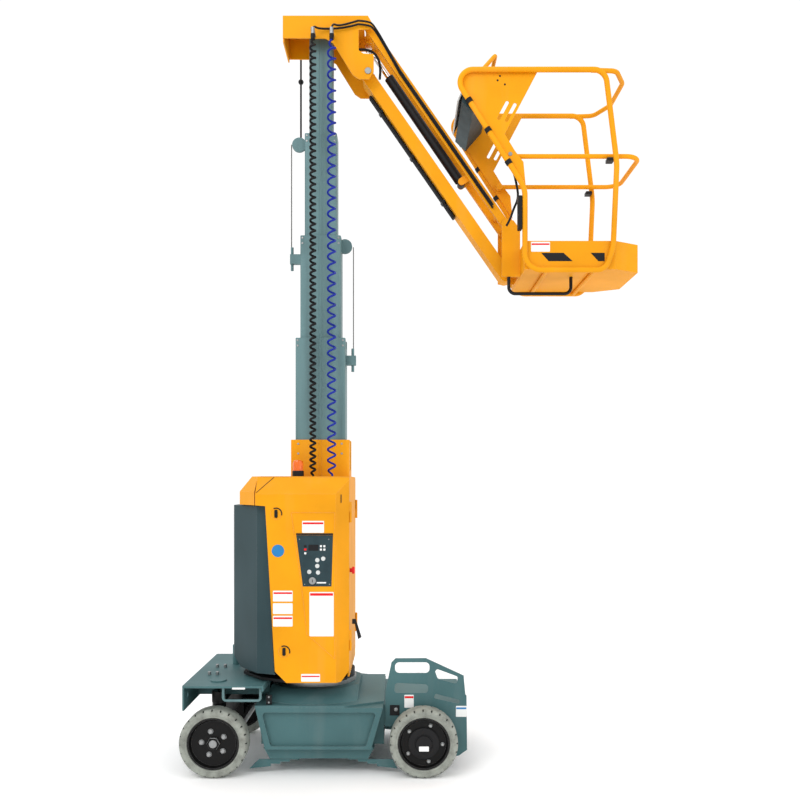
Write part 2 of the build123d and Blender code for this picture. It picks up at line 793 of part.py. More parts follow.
for name, side in SIDES:
    with BuildPart() as inside:
        with BuildSketch(Plane.XY.offset(turret_floor_z)):
            with BuildLine():
                Polyline(
                    (cover_rear + cover_wall, side * (cover_y - cover_wall)),
                    (cover_facet_x - cover_wall / 2, side * (cover_y - cover_wall)),
                    (turret_front - cover_wall, side * (cover_facet_y - cover_wall / 2)),
                    (turret_front - cover_wall, side * roof_half_width),
                    (cover_rear + cover_wall, side * roof_half_width),
                    close=True,
                )
            make_face()
        extrude(amount=roof_z - turret_floor_z)
        with BuildSketch(Plane(origin=(-500, 0, 0), x_dir=(0, 1, 0), z_dir=(1, 0, 0))):
            with BuildLine():
                Polyline(
                    (side * (cover_y - cover_wall), cover_bend_z - cover_wall / 2),
                    (side * roof_half_width, roof_z - cover_wall),
                    (side * roof_half_width, roof_z + 50), (side * (cover_y + 50), roof_z + 50),
                    (side * (cover_y + 50), cover_bend_z - cover_wall / 2),
                    close=True,
                )
            make_face()
        extrude(amount=1000, mode=Mode.SUBTRACT)
    with BuildPart() as cover:
        with BuildSketch(Plane.XY.offset(turret_floor_z)):
            with BuildLine():
                Polyline(
                    (cover_rear, side * cover_y),
                    (cover_facet_x, side * cover_y),
                    (turret_front, side * cover_facet_y),
                    (turret_front, side * (roof_half_width + seam)),
                    (cover_rear, side * (roof_half_width + seam)),
                    close=True,
                )
            make_face()
        extrude(amount=roof_z - turret_floor_z)
        # Shoulder towards the roof
        with BuildSketch(Plane(origin=(-500, 0, 0), x_dir=(0, 1, 0), z_dir=(1, 0, 0))):
            with BuildLine():
                Polyline(
                    (side * cover_y, cover_bend_z), (side * roof_half_width, roof_z),
                    (side * roof_half_width, roof_z + 50), (side * (cover_y + 50), roof_z + 50),
                    (side * (cover_y + 50), cover_bend_z),
                    close=True,
                )
            make_face()
        extrude(amount=1000, mode=Mode.SUBTRACT)
        # Leaning rear edge along the counterweight and cut lower corners
        with BuildSketch(xz_plane(0)):
            with BuildLine():
                Polyline(
                    (cover_rear - 10, weight_top + seam), (-262, weight_top), (-206, 596),
                    (-140, turret_floor_z), (cover_rear - 10, turret_floor_z),
                    close=True,
                )
            make_face()
            with BuildLine():
                Polyline(
                    (turret_front - 45, turret_floor_z), (turret_front + 1, turret_floor_z + 55),
                    (turret_front + 1, turret_floor_z),
                    close=True,
                )
            make_face()
        extrude(amount=cover_y + 20, both=True, mode=Mode.SUBTRACT)
        add(inside.part, mode=Mode.SUBTRACT)
        # Moving hinge leaves
        for height in hinge_heights:
            with BuildSketch(Plane.XY.offset(height + hinge_leaf + fit_gap)):
                with Locations((hinge_x, side * hinge_y)):
                    Circle(hinge_radius)
                with Locations((hinge_x - hinge_radius / 2, side * (hinge_y + hinge_radius - 2.0))):
                    Rectangle(hinge_radius, hinge_radius)
                with Locations((hinge_x, side * hinge_y)):
                    Circle(hinge_pin_radius + run_gap, mode=Mode.SUBTRACT)
            extrude(amount=hinge_leaf)
        if side < 0:
            with BuildSketch(xz_plane(-cover_y)):
                with BuildLine():
                    Polyline(*panel_corners, close=True)
                make_face()
            extrude(amount=-cover_wall, mode=Mode.SUBTRACT)
    finish(cover, f"cover_{name}")

with BuildPart() as control_panel:
    with BuildSketch(xz_plane(-cover_y + 2.0)):
        with BuildLine():
            outline = Polyline(*panel_corners, close=True)
        make_face()
        offset(amount=-fit_gap, kind=Kind.INTERSECTION, mode=Mode.REPLACE)
    extrude(amount=-30.0)
finish(control_panel, "control_panel")

# Emergency stop on the front panel
stop_place = (-290.0, 1165.0)
with BuildPart() as emergency_stop:
    with BuildSketch(Plane(origin=(turret_front, stop_place[0], stop_place[1]), x_dir=(0, 1, 0), z_dir=(1, 0, 0))):
        Circle(12.0)
    extrude(amount=14.0)
    with BuildSketch(Plane(origin=(turret_front + 14, stop_place[0], stop_place[1]), x_dir=(0, 1, 0), z_dir=(1, 0, 0))):
        Circle(21.0)
    extrude(amount=16.0)
    fillet(emergency_stop.edges().group_by(Axis.X)[-1], 6.0)
finish(emergency_stop, "emergency_stop")

beacon_place = (-95.0, -235.0)
beacon_radius = 34.5
with BuildPart() as beacon:
    with BuildSketch(Plane.XY.offset(roof_z)):
        with Locations(beacon_place):
            Circle(beacon_radius)
    extrude(amount=100.0)
    fillet(beacon.edges().group_by(Axis.Z)[-1], 12.0)
finish(beacon, "beacon")

# Mast head: two side plates, top and rear plates, spacers on stage 4 and the arm pins
head_outline = (
    (-201, 4395), (-201, head_top), (318, head_top), (354, 4470), (354, 4450), (262, 4445),
    (262, 4320), (290, 4300), (354, 4296), (354, 4190), (325, 4144), (262, 4144), (225, 4170),
    (105, 4364), (60, 4392),
)
with BuildPart() as mast_head:
    for side in (-1, 1):
        with BuildSketch(xz_plane(side * head_half_gap)):
            with BuildLine():
                Polyline(*head_outline, close=True)
            make_face()
        extrude(amount=-side * head_plate)
    with BuildSketch(Plane.XY.offset(head_top)):
        with Locations(((-201 + 290) / 2, 0)):
            Rectangle(290 + 201, 2 * head_half_gap)
    extrude(amount=-head_plate)
    with BuildSketch(Plane.XY.offset(head_top)):
        with Locations((-201 + head_plate / 2, 0)):
            Rectangle(head_plate, 2 * head_half_gap)
    extrude(amount=-(head_top - 4372))
    for side in (-1, 1):
        with BuildSketch(Plane.XY.offset(head_top - head_plate)):
            with Locations((mast_x, side * (STAGES[3][2] / 2 + head_half_gap) / 2)):
                Rectangle(120.0, head_half_gap - STAGES[3][2] / 2)
        extrude(amount=-80.0)
    for place in (lower_pivot, upper_pivot):
        with BuildSketch(xz_plane(-head_half_gap)):
            with Locations(place):
                Circle(pin_radius)
        extrude(amount=-2 * head_half_gap)
finish(mast_head, "mast_head")

# Stop rod with its ball, clipped to the far head plate
with BuildPart() as head_rod:
    with BuildSketch(Plane.XY.offset(stop_rod_bottom)):
        with Locations(stop_rod_place):
            Circle(stop_rod_radius)
    extrude(amount=stop_rod_top - stop_rod_bottom)
    with Locations((stop_rod_place[0], stop_rod_place[1], stop_ball_z)):
        Sphere(stop_ball_radius)
    with BuildSketch(Plane.XY.offset(stop_rod_top - stop_clip_height)):
        with Locations((stop_rod_place[0], (head_half_gap + head_plate + stop_rod_place[1]) / 2)):
            Rectangle(4 * stop_rod_radius, stop_rod_place[1] - head_half_gap - head_plate)
    extrude(amount=stop_clip_height)
finish(head_rod, "head_rod")

# Curly cords, each one plain tube of its outer size: name, place along X, radius
cord_y = -200.0
cord_top = 4352.0
CORDS = (("curly_cord_black", -11.0, 23.0), ("curly_cord_blue", 102.0, 30.0))
for name, x, radius in CORDS:
    with BuildPart() as cord:
        with BuildSketch(Plane.XY.offset(roof_z)):
            with Locations((x, cord_y)):
                Circle(radius)
        extrude(amount=cord_top - roof_z)
    finish(cord, name)

# Glands that the cords come out of, clipped to the near head plate
gland_radius = 12.0
with BuildPart() as cord_glands:
    for name, x, radius in CORDS:
        with BuildSketch(Plane.XY.offset(cord_top)):
            with Locations((x, cord_y)):
                Circle(gland_radius)
        extrude(amount=70.0)
        with BuildSketch(Plane.XY.offset(cord_top + 45.0)):
            with Locations((x, (cord_y - head_half_gap - head_plate) / 2)):
                Rectangle(2 * gland_radius, -cord_y - head_half_gap - head_plate)
        extrude(amount=12.0)
finish(cord_glands, "cord_glands")

# Jib arms: sketches run along the arm (local X) and across it (local Y)
lower_frame = Plane(origin=(lower_pivot[0], 0, lower_pivot[1]), x_dir=(jib_dir[0], 0, jib_dir[1]), z_dir=(0, -1, 0))
upper_frame = Plane(origin=(upper_pivot[0], 0, upper_pivot[1]), x_dir=(jib_dir[0], 0, jib_dir[1]), z_dir=(0, -1, 0))

with BuildPart() as jib_lower_arm:
    with BuildSketch(lower_frame):
        with Locations((jib_length / 2, 0)):
            SlotCenterToCenter(jib_length, lower_arm_depth)
    extrude(amount=lower_arm_half_width, both=True)
    with BuildSketch(lower_frame):
        with Locations((jib_length / 2, lower_arm_wall)):
            Rectangle(jib_length - 2 * lower_hub_radius - 30.0, lower_arm_depth)
    extrude(amount=lower_arm_half_width - lower_arm_wall, both=True, mode=Mode.SUBTRACT)
    with BuildSketch(lower_frame):
        with Locations((0, 0), (jib_length, 0)):
            Circle(pin_radius + run_gap)
    extrude(amount=lower_arm_half_width, both=True, mode=Mode.SUBTRACT)
finish(jib_lower_arm, "jib_lower_arm")

with BuildPart() as jib_upper_arm:
    bar_y = upper_bar_inner + upper_bar_width / 2
    for side in (-1, 1):
        with BuildSketch(Plane(origin=upper_frame.from_local_coords((0, 0, side * upper_bar_inner)),
                               x_dir=upper_frame.x_dir, z_dir=upper_frame.z_dir)):
            with Locations((jib_length / 2, 0)):
                SlotCenterToCenter(jib_length, upper_bar_depth)
            with Locations((0, 0), (jib_length, 0)):
                Circle(pin_radius + run_gap, mode=Mode.SUBTRACT)
        extrude(amount=side * upper_bar_width)
    with BuildSketch(upper_frame):
        with Locations((90.0, 5.0), (jib_length - 90.0, 5.0)):
            Circle(14.0)
    extrude(amount=upper_bar_inner, both=True)
    # Cross plate with the lugs and the foot pin of the cylinder
    with BuildSketch(upper_frame):
        with Locations((cylinder_foot, 0)):
            Rectangle(2 * foot_lug_radius, lug_plate)
    extrude(amount=upper_bar_inner, both=True)
    for side in (-1, 1):
        with BuildSketch(Plane(origin=upper_frame.from_local_coords((0, 0, side * (barrel_radius + lug_gap))),
                               x_dir=upper_frame.x_dir, z_dir=upper_frame.z_dir)):
            with Locations((cylinder_foot, -cylinder_drop / 2)):
                Rectangle(2 * foot_lug_radius, cylinder_drop)
            with Locations((cylinder_foot, -cylinder_drop)):
                Circle(foot_lug_radius)
        extrude(amount=side * foot_lug)
    with BuildSketch(upper_frame):
        with Locations((cylinder_foot, -cylinder_drop)):
            Circle(foot_pin_radius)
    extrude(amount=barrel_radius + lug_gap, both=True)
finish(jib_upper_arm, "jib_upper_arm")

# Jib cylinder: barrel pinned to the upper arm, rod with its eye at the head
foot = upper_frame.from_local_coords((cylinder_foot, -cylinder_drop, 0))
eye = Vector(rod_eye_at_head[0], 0, rod_eye_at_head[1])
cylinder_span = (eye - foot).length
cylinder_dir = (eye - foot).normalized()
cylinder_frame = Plane(origin=foot, x_dir=(0, 1, 0), z_dir=cylinder_dir)
barrel_length = 800.0
rod_inside = 240.0
eye_radius = 24.0
eye_half_width = 18.0
with BuildPart() as jib_cylinder:
    with BuildSketch(cylinder_frame.offset(18.0)):
        Circle(barrel_radius)
    extrude(amount=barrel_length - 18.0)
    with BuildSketch(cylinder_frame.offset(barrel_length - rod_inside - 40.0)):
        Circle(rod_radius + run_gap)
    extrude(amount=rod_inside + 40.0, mode=Mode.SUBTRACT)
    with BuildSketch(Plane(origin=foot, x_dir=(1, 0, 0), z_dir=(0, -1, 0))):
        Circle(eye_radius)
    extrude(amount=barrel_radius, both=True)
    with BuildSketch(Plane(origin=foot, x_dir=(1, 0, 0), z_dir=(0, -1, 0))):
        Circle(foot_pin_radius + run_gap)
    extrude(amount=barrel_radius, both=True, mode=Mode.SUBTRACT)
finish(jib_cylinder, "jib_cylinder")

with BuildPart() as jib_rod:
    with BuildSketch(cylinder_frame.offset(barrel_length - rod_inside)):
        Circle(rod_radius)
    extrude(amount=cylinder_span - barrel_length + rod_inside - 4.0)
    with BuildSketch(Plane(origin=eye, x_dir=(1, 0, 0), z_dir=(0, -1, 0))):
        Circle(eye_radius)
    extrude(amount=eye_half_width, both=True)
finish(jib_rod, "jib_rod")

# Basket mount: two plates with the arm pins, closed by a back plate at the basket
mount_back = basket_left - tube_radius + 17.0
with BuildPart() as basket_mount:
    for side in (-1, 1):
        with BuildSketch(xz_plane(side * mount_plate_y)):
            with BuildLine():
                Polyline(
                    (lower_end[0] - 32, lower_end[1] - 18), (lower_end[0] - 32, upper_end[1] + 12),
                    (lower_end[0] - 12, upper_end[1] + 34), (lower_end[0] + 40, upper_end[1] + 24),
                    (mount_back, upper_end[1] - 30), (mount_back, floor_under + 2),
                    (lower_end[0] - 8, floor_under + 2),
                    close=True,
                )
            make_face()
        extrude(amount=-side * mount_plate)
    with BuildSketch(Plane.XY.offset(floor_under + 2)):
        with Locations((mount_back - 5.0, 0)):
            Rectangle(10.0, 2 * mount_plate_y)
    extrude(amount=upper_end[1] - 30 - floor_under - 2)
    for place in (lower_end, upper_end):
        with BuildSketch(xz_plane(-mount_plate_y)):
            with Locations(place):
                Circle(pin_radius)
        extrude(amount=-2 * mount_plate_y)
finish(basket_mount, "basket_mount")

# Basket floor pan with the toe board as its wall
pan_half_width = basket_half_width - tube_radius - fit_gap
pan_outline = (
    (mount_back, -pan_half_width), (1785, -pan_half_width), (1941, -214), (1941, 214),
    (1785, pan_half_width), (mount_back, pan_half_width),
)
with BuildPart() as basket_floor:
    with BuildSketch(Plane.XY.offset(floor_under)):
        with BuildLine():
            Polyline(*pan_outline, close=True)
        make_face()
    extrude(amount=toe_board_top - floor_under)
    with BuildSketch(Plane.XY.offset(floor_z)):
        with BuildLine():
            Polyline(*pan_outline, close=True)
        make_face()
        offset(amount=-toe_board_wall, kind=Kind.INTERSECTION, mode=Mode.REPLACE)
    extrude(amount=toe_board_top - floor_z, mode=Mode.SUBTRACT)
finish(basket_floor, "basket_floor")

# Basket frame: two side loops, cross tubes, front bow and console hoop
loop_points = (
    (basket_left, basket_bottom_z), (basket_left, basket_post_top), (806, basket_rail_z),
    (1722, basket_rail_z), (1790, 3560), (1768, 3060), (1722, basket_bottom_z),
)
loop_radii = [96.0, 160.0, 75.0, 78.0, 500.0, 300.0, 70.0]
bow_points = (
    (1640, -basket_half_width), (1790, -basket_half_width + 10), (1866, -150), (1866, 150),
    (1790, basket_half_width - 10), (1640, basket_half_width),
)
hoop_points = (
    (1000, -basket_half_width, basket_rail_z), (1083, -262, 4227), (1083, 262, 4227),
    (1000, basket_half_width, basket_rail_z),
)
side_loops = [
    tube_through([(x, side * basket_half_width, z) for x, z in loop_points], loop_radii, tube_radius, True)
    for side in (-1, 1)
]
front_bow = tube_through([(x, y, basket_rail_z - 4.0) for x, y in bow_points],
                         [60.0, 90.0, 90.0, 60.0], tube_radius - 2.0)
console_hoop = tube_through(hoop_points, [40.0, 40.0], tube_radius - 4.0)
with BuildPart() as basket_frame:
    add(side_loops)
    add(front_bow)
    add(console_hoop)
    for x in (basket_left + 130.0, 1660.0):
        with BuildSketch(Plane.XZ.offset(-basket_half_width)):
            with Locations((x, floor_under - fit_gap - cross_tube_radius)):
                Circle(cross_tube_radius)
        extrude(amount=2 * basket_half_width)
finish(basket_frame, "basket_frame")

# Side plates inside the loops, with two slots each and the gate's pivot pin
plate_y = basket_half_width - tube_radius - fit_gap
gate_hub_half = 17.0
with BuildPart() as basket_side_plates:
    for side in (-1, 1):
        with BuildSketch(xz_plane(side * plate_y)):
            with BuildLine():
                Polyline(
                    (basket_left + 8, basket_post_top + 10), (880, 3995), (872, 4060), (900, basket_rail_z - 4),
                    (1326, basket_rail_z - 4), (1132, 3741), (1193, 3641), (1243, 3576),
                    close=True,
                )
            make_face()
            with Locations((1122, 3880), (1168, 3868)):
                SlotCenterToCenter(104.0, 20.0, rotation=62.0, mode=Mode.SUBTRACT)
        extrude(amount=side * side_plate)
        with BuildSketch(xz_plane(side * (plate_y - side_plate))):
            with Locations(gate_pivot):
                Circle(8.0)
        extrude(amount=side * (plate_y - side_plate - gate_half_width + gate_hub_half))
finish(basket_side_plates, "basket_side_plates")

# Gate bar: bow that lifts about the pins in the side plates
gate_points = (
    (gate_pivot[0] + 12.0, -gate_half_width), (gate_front, -gate_half_width),
    (gate_front, gate_half_width), (gate_pivot[0] + 12.0, gate_half_width),
)
gate_tube = tube_through([(x, y, gate_pivot[1]) for x, y in gate_points], [90.0, 90.0], gate_radius)
with BuildPart() as gate_bar:
    add(gate_tube)
    for side in (-1, 1):
        with BuildSketch(xz_plane(side * (gate_half_width + gate_hub_half))):
            with Locations(gate_pivot):
                Circle(20.0)
        extrude(amount=side * 2 * gate_hub_half)
    with BuildSketch(xz_plane(-gate_half_width - gate_hub_half)):
        with Locations(gate_pivot):
            Circle(8.0 + run_gap)
    extrude(amount=-2 * (gate_half_width + gate_hub_half), mode=Mode.SUBTRACT)
finish(gate_bar, "gate_bar")

# Console between the side plates
with BuildPart() as basket_console:
    with BuildSketch(xz_plane(0)):
        with BuildLine():
            Polyline((878, 3935), (945, 3870), (1050, 3990), (1040, 4080), (905, 4092), close=True)
        make_face()
    extrude(amount=plate_y - side_plate - fit_gap, both=True)
finish(basket_console, "basket_console")

# Bent step loop under the floor
step_y = -112.0
step_points = (
    (1180, step_y, floor_under), (1180, step_y, 2840), (1560, step_y, 2840), (1560, step_y, floor_under)
)
step_tube = tube_through(step_points, [40.0, 40.0], 10.0)
with BuildPart() as step_loop:
    add(step_tube)
finish(step_loop, "step_loop")
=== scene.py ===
"""Looks of a self-propelled vertical mast lift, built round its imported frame.

Everything is in metres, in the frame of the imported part: +X along the chassis towards the basket, +Z up,
the near side faces -Y. Each sub-assembly is a class with its sizes as fields.
"""
from __future__ import annotations

import json
import logging
import math
from dataclasses import dataclass, field
from enum import Enum

import bmesh
import bpy
import numpy as np
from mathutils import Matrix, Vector

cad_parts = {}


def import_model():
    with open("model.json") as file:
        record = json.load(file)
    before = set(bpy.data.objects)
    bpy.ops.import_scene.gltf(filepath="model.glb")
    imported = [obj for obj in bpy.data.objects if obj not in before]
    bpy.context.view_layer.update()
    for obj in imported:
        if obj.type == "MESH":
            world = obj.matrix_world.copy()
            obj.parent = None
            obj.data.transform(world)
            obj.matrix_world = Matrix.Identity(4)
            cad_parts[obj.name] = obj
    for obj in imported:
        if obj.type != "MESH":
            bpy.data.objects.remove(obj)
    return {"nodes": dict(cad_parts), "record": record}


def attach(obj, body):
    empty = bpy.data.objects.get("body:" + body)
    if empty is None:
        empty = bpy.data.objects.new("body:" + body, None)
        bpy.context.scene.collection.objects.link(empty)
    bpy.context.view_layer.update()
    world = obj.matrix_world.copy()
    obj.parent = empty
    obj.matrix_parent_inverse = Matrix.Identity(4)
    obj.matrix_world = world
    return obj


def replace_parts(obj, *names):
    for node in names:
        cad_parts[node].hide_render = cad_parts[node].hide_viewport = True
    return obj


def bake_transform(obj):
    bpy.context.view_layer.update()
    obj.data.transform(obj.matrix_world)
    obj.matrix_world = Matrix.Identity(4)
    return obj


LOG = logging.getLogger("mast_lift")
TURN = 2.0 * math.pi

Place = tuple[float, float, float]
Colour = tuple[float, float, float]
Outline = tuple[tuple[float, float], ...]


class Way(Enum):
    """Directions that pieces face."""

    FAR = (0.0, 1.0, 0.0)
    NEAR = (0.0, -1.0, 0.0)
    UP = (0.0, 0.0, 1.0)

    @property
    def vector(self) -> np.ndarray:
        """The direction as an array of three numbers."""
        return np.array(self.value)


# Shapes


@dataclass
class Shape:
    """A surface: its points, one row each, and its faces as lists of point numbers."""

    points: np.ndarray
    faces: list[list[int]]

    @staticmethod
    def empty() -> "Shape":
        """A surface without points, to which others are added."""
        return Shape(np.empty((0, 3)), [])

    @staticmethod
    def loft(rings: np.ndarray, closed: bool = False) -> "Shape":
        """Join rings of points, each a closed loop, into a skin.

        Args:
            rings: array of m rings by n points by 3.
            closed: whether the last ring joins the first, or both ends get a cap.

        Returns:
            The skin, whose quad (i, j) joins points j and j+1 of rings i and i+1.
        """
        m, n, _ = rings.shape
        i = np.arange(m if closed else m - 1)[:, None]
        j = np.arange(n)[None, :]
        k = (j + 1) % n
        i2 = (i + 1) % m
        quads = np.stack([i * n + j, i * n + k, i2 * n + k, i2 * n + j], axis=-1).reshape(-1, 4)
        faces = quads.tolist()
        if not closed:
            faces.append(list(range(n))[::-1])
            faces.append(list(range((m - 1) * n, m * n)))
        return Shape(rings.reshape(-1, 3), faces)

    @staticmethod
    def turned(profile: Outline | list[tuple[float, float]], sides: int = 32) -> "Shape":
        """Turn a profile about Z: point (r, h) becomes (r cos a, r sin a, h) for each angle a.

        Args:
            profile: radius and height of each ring, from the lower end to the upper end.
            sides: number of points round.

        Returns:
            The turned solid with flat ends.
        """
        angle = np.linspace(0.0, TURN, sides, endpoint=False)
        r, h = np.array(profile).T
        rings = np.stack(
            [np.outer(r, np.cos(angle)), np.outer(r, np.sin(angle)), np.outer(h, np.ones(sides))], axis=-1
        )
        return Shape.loft(rings)

    @staticmethod
    def plate(outline: np.ndarray, thickness: float, round_edge: float = 0.0) -> "Shape":
        """Raise an outline in the XY plane to a thickness, its upper edge eased by a small chamfer.

        Args:
            outline: n points by 2.
            thickness: height along Z.
            round_edge: width of the chamfer, measured towards the outline's middle.

        Returns:
            The plate, standing on Z = 0.
        """
        middle = outline.mean(axis=0)
        reach = np.abs(outline - middle).max(axis=0)
        inset = middle + (outline - middle) * (1.0 - round_edge / reach)
        heights = [0.0, thickness - round_edge, thickness] if round_edge else [0.0, thickness]
        outlines = [outline, outline, inset] if round_edge else [outline, outline]
        rings = np.stack([np.column_stack([o, np.full(len(o), h)]) for o, h in zip(outlines, heights)])
        return Shape.loft(rings)

    @staticmethod
    def tube(path: np.ndarray, radius: float | np.ndarray, sides: int = 12,
             reference: Place = (0.0, 1.0, 0.0)) -> "Shape":
        """Carry a circle along a path: point = path + r (cos a * side + sin a * up).

        Args:
            path: n points by 3.
            radius: one radius, or one for each point.
            sides: points round the circle.
            reference: a direction that the path never runs along; side = tangent x reference.

        Returns:
            The closed tube.
        """
        tangent = np.gradient(path, axis=0)
        tangent /= np.linalg.norm(tangent, axis=1, keepdims=True)
        side = np.cross(tangent, np.array(reference))
        side /= np.linalg.norm(side, axis=1, keepdims=True)
        up = np.cross(tangent, side)
        angle = np.linspace(0.0, TURN, sides, endpoint=False)
        r = np.broadcast_to(radius, len(path))[:, None, None]
        rings = path[:, None] + r * (
            np.cos(angle)[None, :, None] * side[:, None] + np.sin(angle)[None, :, None] * up[:, None]
        )
        return Shape.loft(rings)

    def __add__(self, other: "Shape") -> "Shape":
        """Both surfaces in one, the other's points numbered after this one's."""
        faces = self.faces + [[i + len(self.points) for i in f] for f in other.faces]
        return Shape(np.vstack([self.points, other.points]), faces)

    def facing(self, way: np.ndarray, x_way: np.ndarray | None = None) -> "Shape":
        """Turn the shape: its X, Y and Z become three unit vectors at right angles, Y the cross product.

        Args:
            way: where its Z points.
            x_way: where its X points, or None for a level direction.

        Returns:
            The turned shape.
        """
        z = np.array(way, float) / np.linalg.norm(way)
        if x_way is None:
            x_way = np.cross((0.0, 0.0, 1.0), z) if abs(z[2]) < 0.99 else np.array((1.0, 0.0, 0.0))
        x = x_way / np.linalg.norm(x_way)
        y = np.cross(z, x)
        return Shape(self.points @ np.stack([x, y, z]), self.faces)

    def at(self, *place: float) -> "Shape":
        """Shift the shape by a place."""
        return Shape(self.points + np.array(place), self.faces)

    def copies(self, points: np.ndarray) -> "Shape":
        """Give the faces of this shape to each copy of its points.

        Args:
            points: array of copies by points by 3.

        Returns:
            All copies in one surface, where copy k adds k times the count of points to each face's numbers.
        """
        count = len(self.points)
        faces = [[i + k * count for i in f] for k in range(len(points)) for f in self.faces]
        return Shape(points.reshape(-1, 3), faces)

    def repeated(self, places: np.ndarray) -> "Shape":
        """One copy at each place: the points of all copies are one broadcast sum."""
        return self.copies(np.asarray(places, float)[:, None] + self.points[None])

    def spun(self, angles: np.ndarray) -> "Shape":
        """One copy turned about Z by each angle a: (x, y) becomes (x cos a - y sin a, x sin a + y cos a).

        Args:
            angles: the angles in radians.

        Returns:
            All copies in one surface.
        """
        x, y, z = self.points.T
        cos, sin = np.cos(angles)[:, None], np.sin(angles)[:, None]
        height = np.broadcast_to(z, (len(angles), len(z)))
        return self.copies(np.stack([x * cos - y * sin, x * sin + y * cos, height], axis=-1))


def rounded_outline(width: float, height: float, radius: float, steps: int = 5) -> np.ndarray:
    """Rectangle with round corners: each corner is a quarter circle about its own centre.

    Args:
        width: size along X.
        height: size along Y.
        radius: corner radius.
        steps: points on each corner.

    Returns:
        Points by 2, anticlockwise.
    """
    quarter = np.linspace(0.0, math.pi / 2, steps)
    angle = np.concatenate([quarter + k * math.pi / 2 for k in range(4)])
    sx = np.repeat([1, -1, -1, 1], steps) * (width / 2 - radius)
    sy = np.repeat([1, 1, -1, -1], steps) * (height / 2 - radius)
    return np.column_stack([sx + radius * np.cos(angle), sy + radius * np.sin(angle)])


def polygon(sides: int, radius: float) -> np.ndarray:
    """Corners of a regular polygon: evenly spaced points of a circle."""
    angle = np.linspace(0.0, TURN, sides, endpoint=False)
    return radius * np.column_stack([np.cos(angle), np.sin(angle)])


def hex_bolt(across: float, height: float, washer: float = 0.0) -> Shape:
    """Bolt head with chamfered top on a washer, standing on Z = 0.

    Args:
        across: size across the corners.
        height: height of the head.
        washer: radius of the washer, or none.

    Returns:
        The head and its washer.
    """
    base = 0.12 * height if washer else 0.0
    head = Shape.plate(polygon(6, across / 2), height - base, 0.12 * across).at(0.0, 0.0, base)
    if washer:
        head = head + Shape.turned([(washer, 0.0), (washer, base)], 20)
    return head


def circle_places(count: int, radius: float, start: float = 0.0) -> np.ndarray:
    """Places evenly round a circle in the XY plane."""
    angle = start + np.arange(count) * TURN / count
    return np.column_stack([radius * np.cos(angle), radius * np.sin(angle), np.zeros(count)])


def ring_path(radius: float) -> np.ndarray:
    """A circle in the XY plane whose last point is close to its first."""
    angle = np.linspace(0.0, TURN * 0.9999, 97)
    return np.column_stack([radius * np.cos(angle), radius * np.sin(angle), np.zeros(97)])


def drum(radius: float, height: float, edge: float = 0.001, sides: int = 28) -> Shape:
    """Round plate or knob with an eased upper edge, standing on Z = 0."""
    return Shape.turned([(radius, 0.0), (radius, height - edge), (radius - edge, height)], sides)


def slab(width: float, height: float, thickness: float, corner: float = 0.002) -> Shape:
    """Flat box with round corners, standing on Z = 0."""
    return Shape.plate(rounded_outline(width, height, corner), thickness, min(corner, thickness) / 2)


def spline_points(points: np.ndarray, name: str, thickness: float = 0.0) -> bpy.types.Mesh:
    """Mesh of a NURBS spline of order 3 through the control points: its line, or its tube.

    Args:
        points: control points by 3.
        name: name of the curve.
        thickness: radius of the tube, or 0 for the bare line.

    Returns:
        The mesh that Blender makes of the curve.
    """
    curve = bpy.data.curves.new(name, "CURVE")
    curve.dimensions = "3D"
    curve.resolution_u = 3
    curve.bevel_depth = thickness
    curve.bevel_resolution = 2
    curve.use_fill_caps = True
    spline = curve.splines.new("NURBS")
    spline.points.add(len(points) - 1)
    spline.points.foreach_set("co", np.column_stack([points, np.ones(len(points))]).ravel())
    spline.order_u = 3
    spline.use_endpoint_u = True
    holder = bpy.data.objects.new(name, curve)
    mesh = bpy.data.meshes.new_from_object(holder)
    bpy.data.objects.remove(holder)
    return mesh


def mesh_points(mesh: bpy.types.Mesh) -> np.ndarray:
    """Read the points of a mesh.

    Args:
        mesh: the mesh.

    Returns:
        Its points by 3.
    """
    co = np.empty(len(mesh.vertices) * 3)
    mesh.vertices.foreach_get("co", co)
    return co.reshape(-1, 3)


def route(points: np.ndarray | tuple[Place, ...], name: str) -> np.ndarray:
    """Points of a smooth line through control points."""
    return mesh_points(spline_points(np.array(points), name + "_line"))


# Shader building


class Field:
    """A shader value that varies over the surface. Python operators on it add Math nodes."""

    def __init__(self, graph: "Graph", socket: bpy.types.NodeSocket) -> None:
        """Wrap an output socket of a graph."""
        self.graph = graph
        self.socket = socket

    def math(self, operation: str, *others: "Field | float") -> "Field":
        """Add one Math node.

        Args:
            operation: the node's operation.
            others: further operands.

        Returns:
            The node's value.
        """
        return self.graph.math(operation, self, *others)

    def __add__(self, other: "Field | float") -> "Field":
        """Sum."""
        return self.math("ADD", other)

    __radd__ = __add__

    def __mul__(self, other: "Field | float") -> "Field":
        """Product."""
        return self.math("MULTIPLY", other)

    __rmul__ = __mul__

    def band(self, low: float, high: float) -> "Field":
        """Stretch a range of the value to 0..1: (value - low) / (high - low), clamped.

        Args:
            low: value that gives 0.
            high: value that gives 1. It may be the smaller of the two.

        Returns:
            The stretched value.
        """
        slope = self.graph.math("MULTIPLY_ADD", self, 1.0 / (high - low), -low / (high - low))
        slope.socket.node.use_clamp = True
        return slope


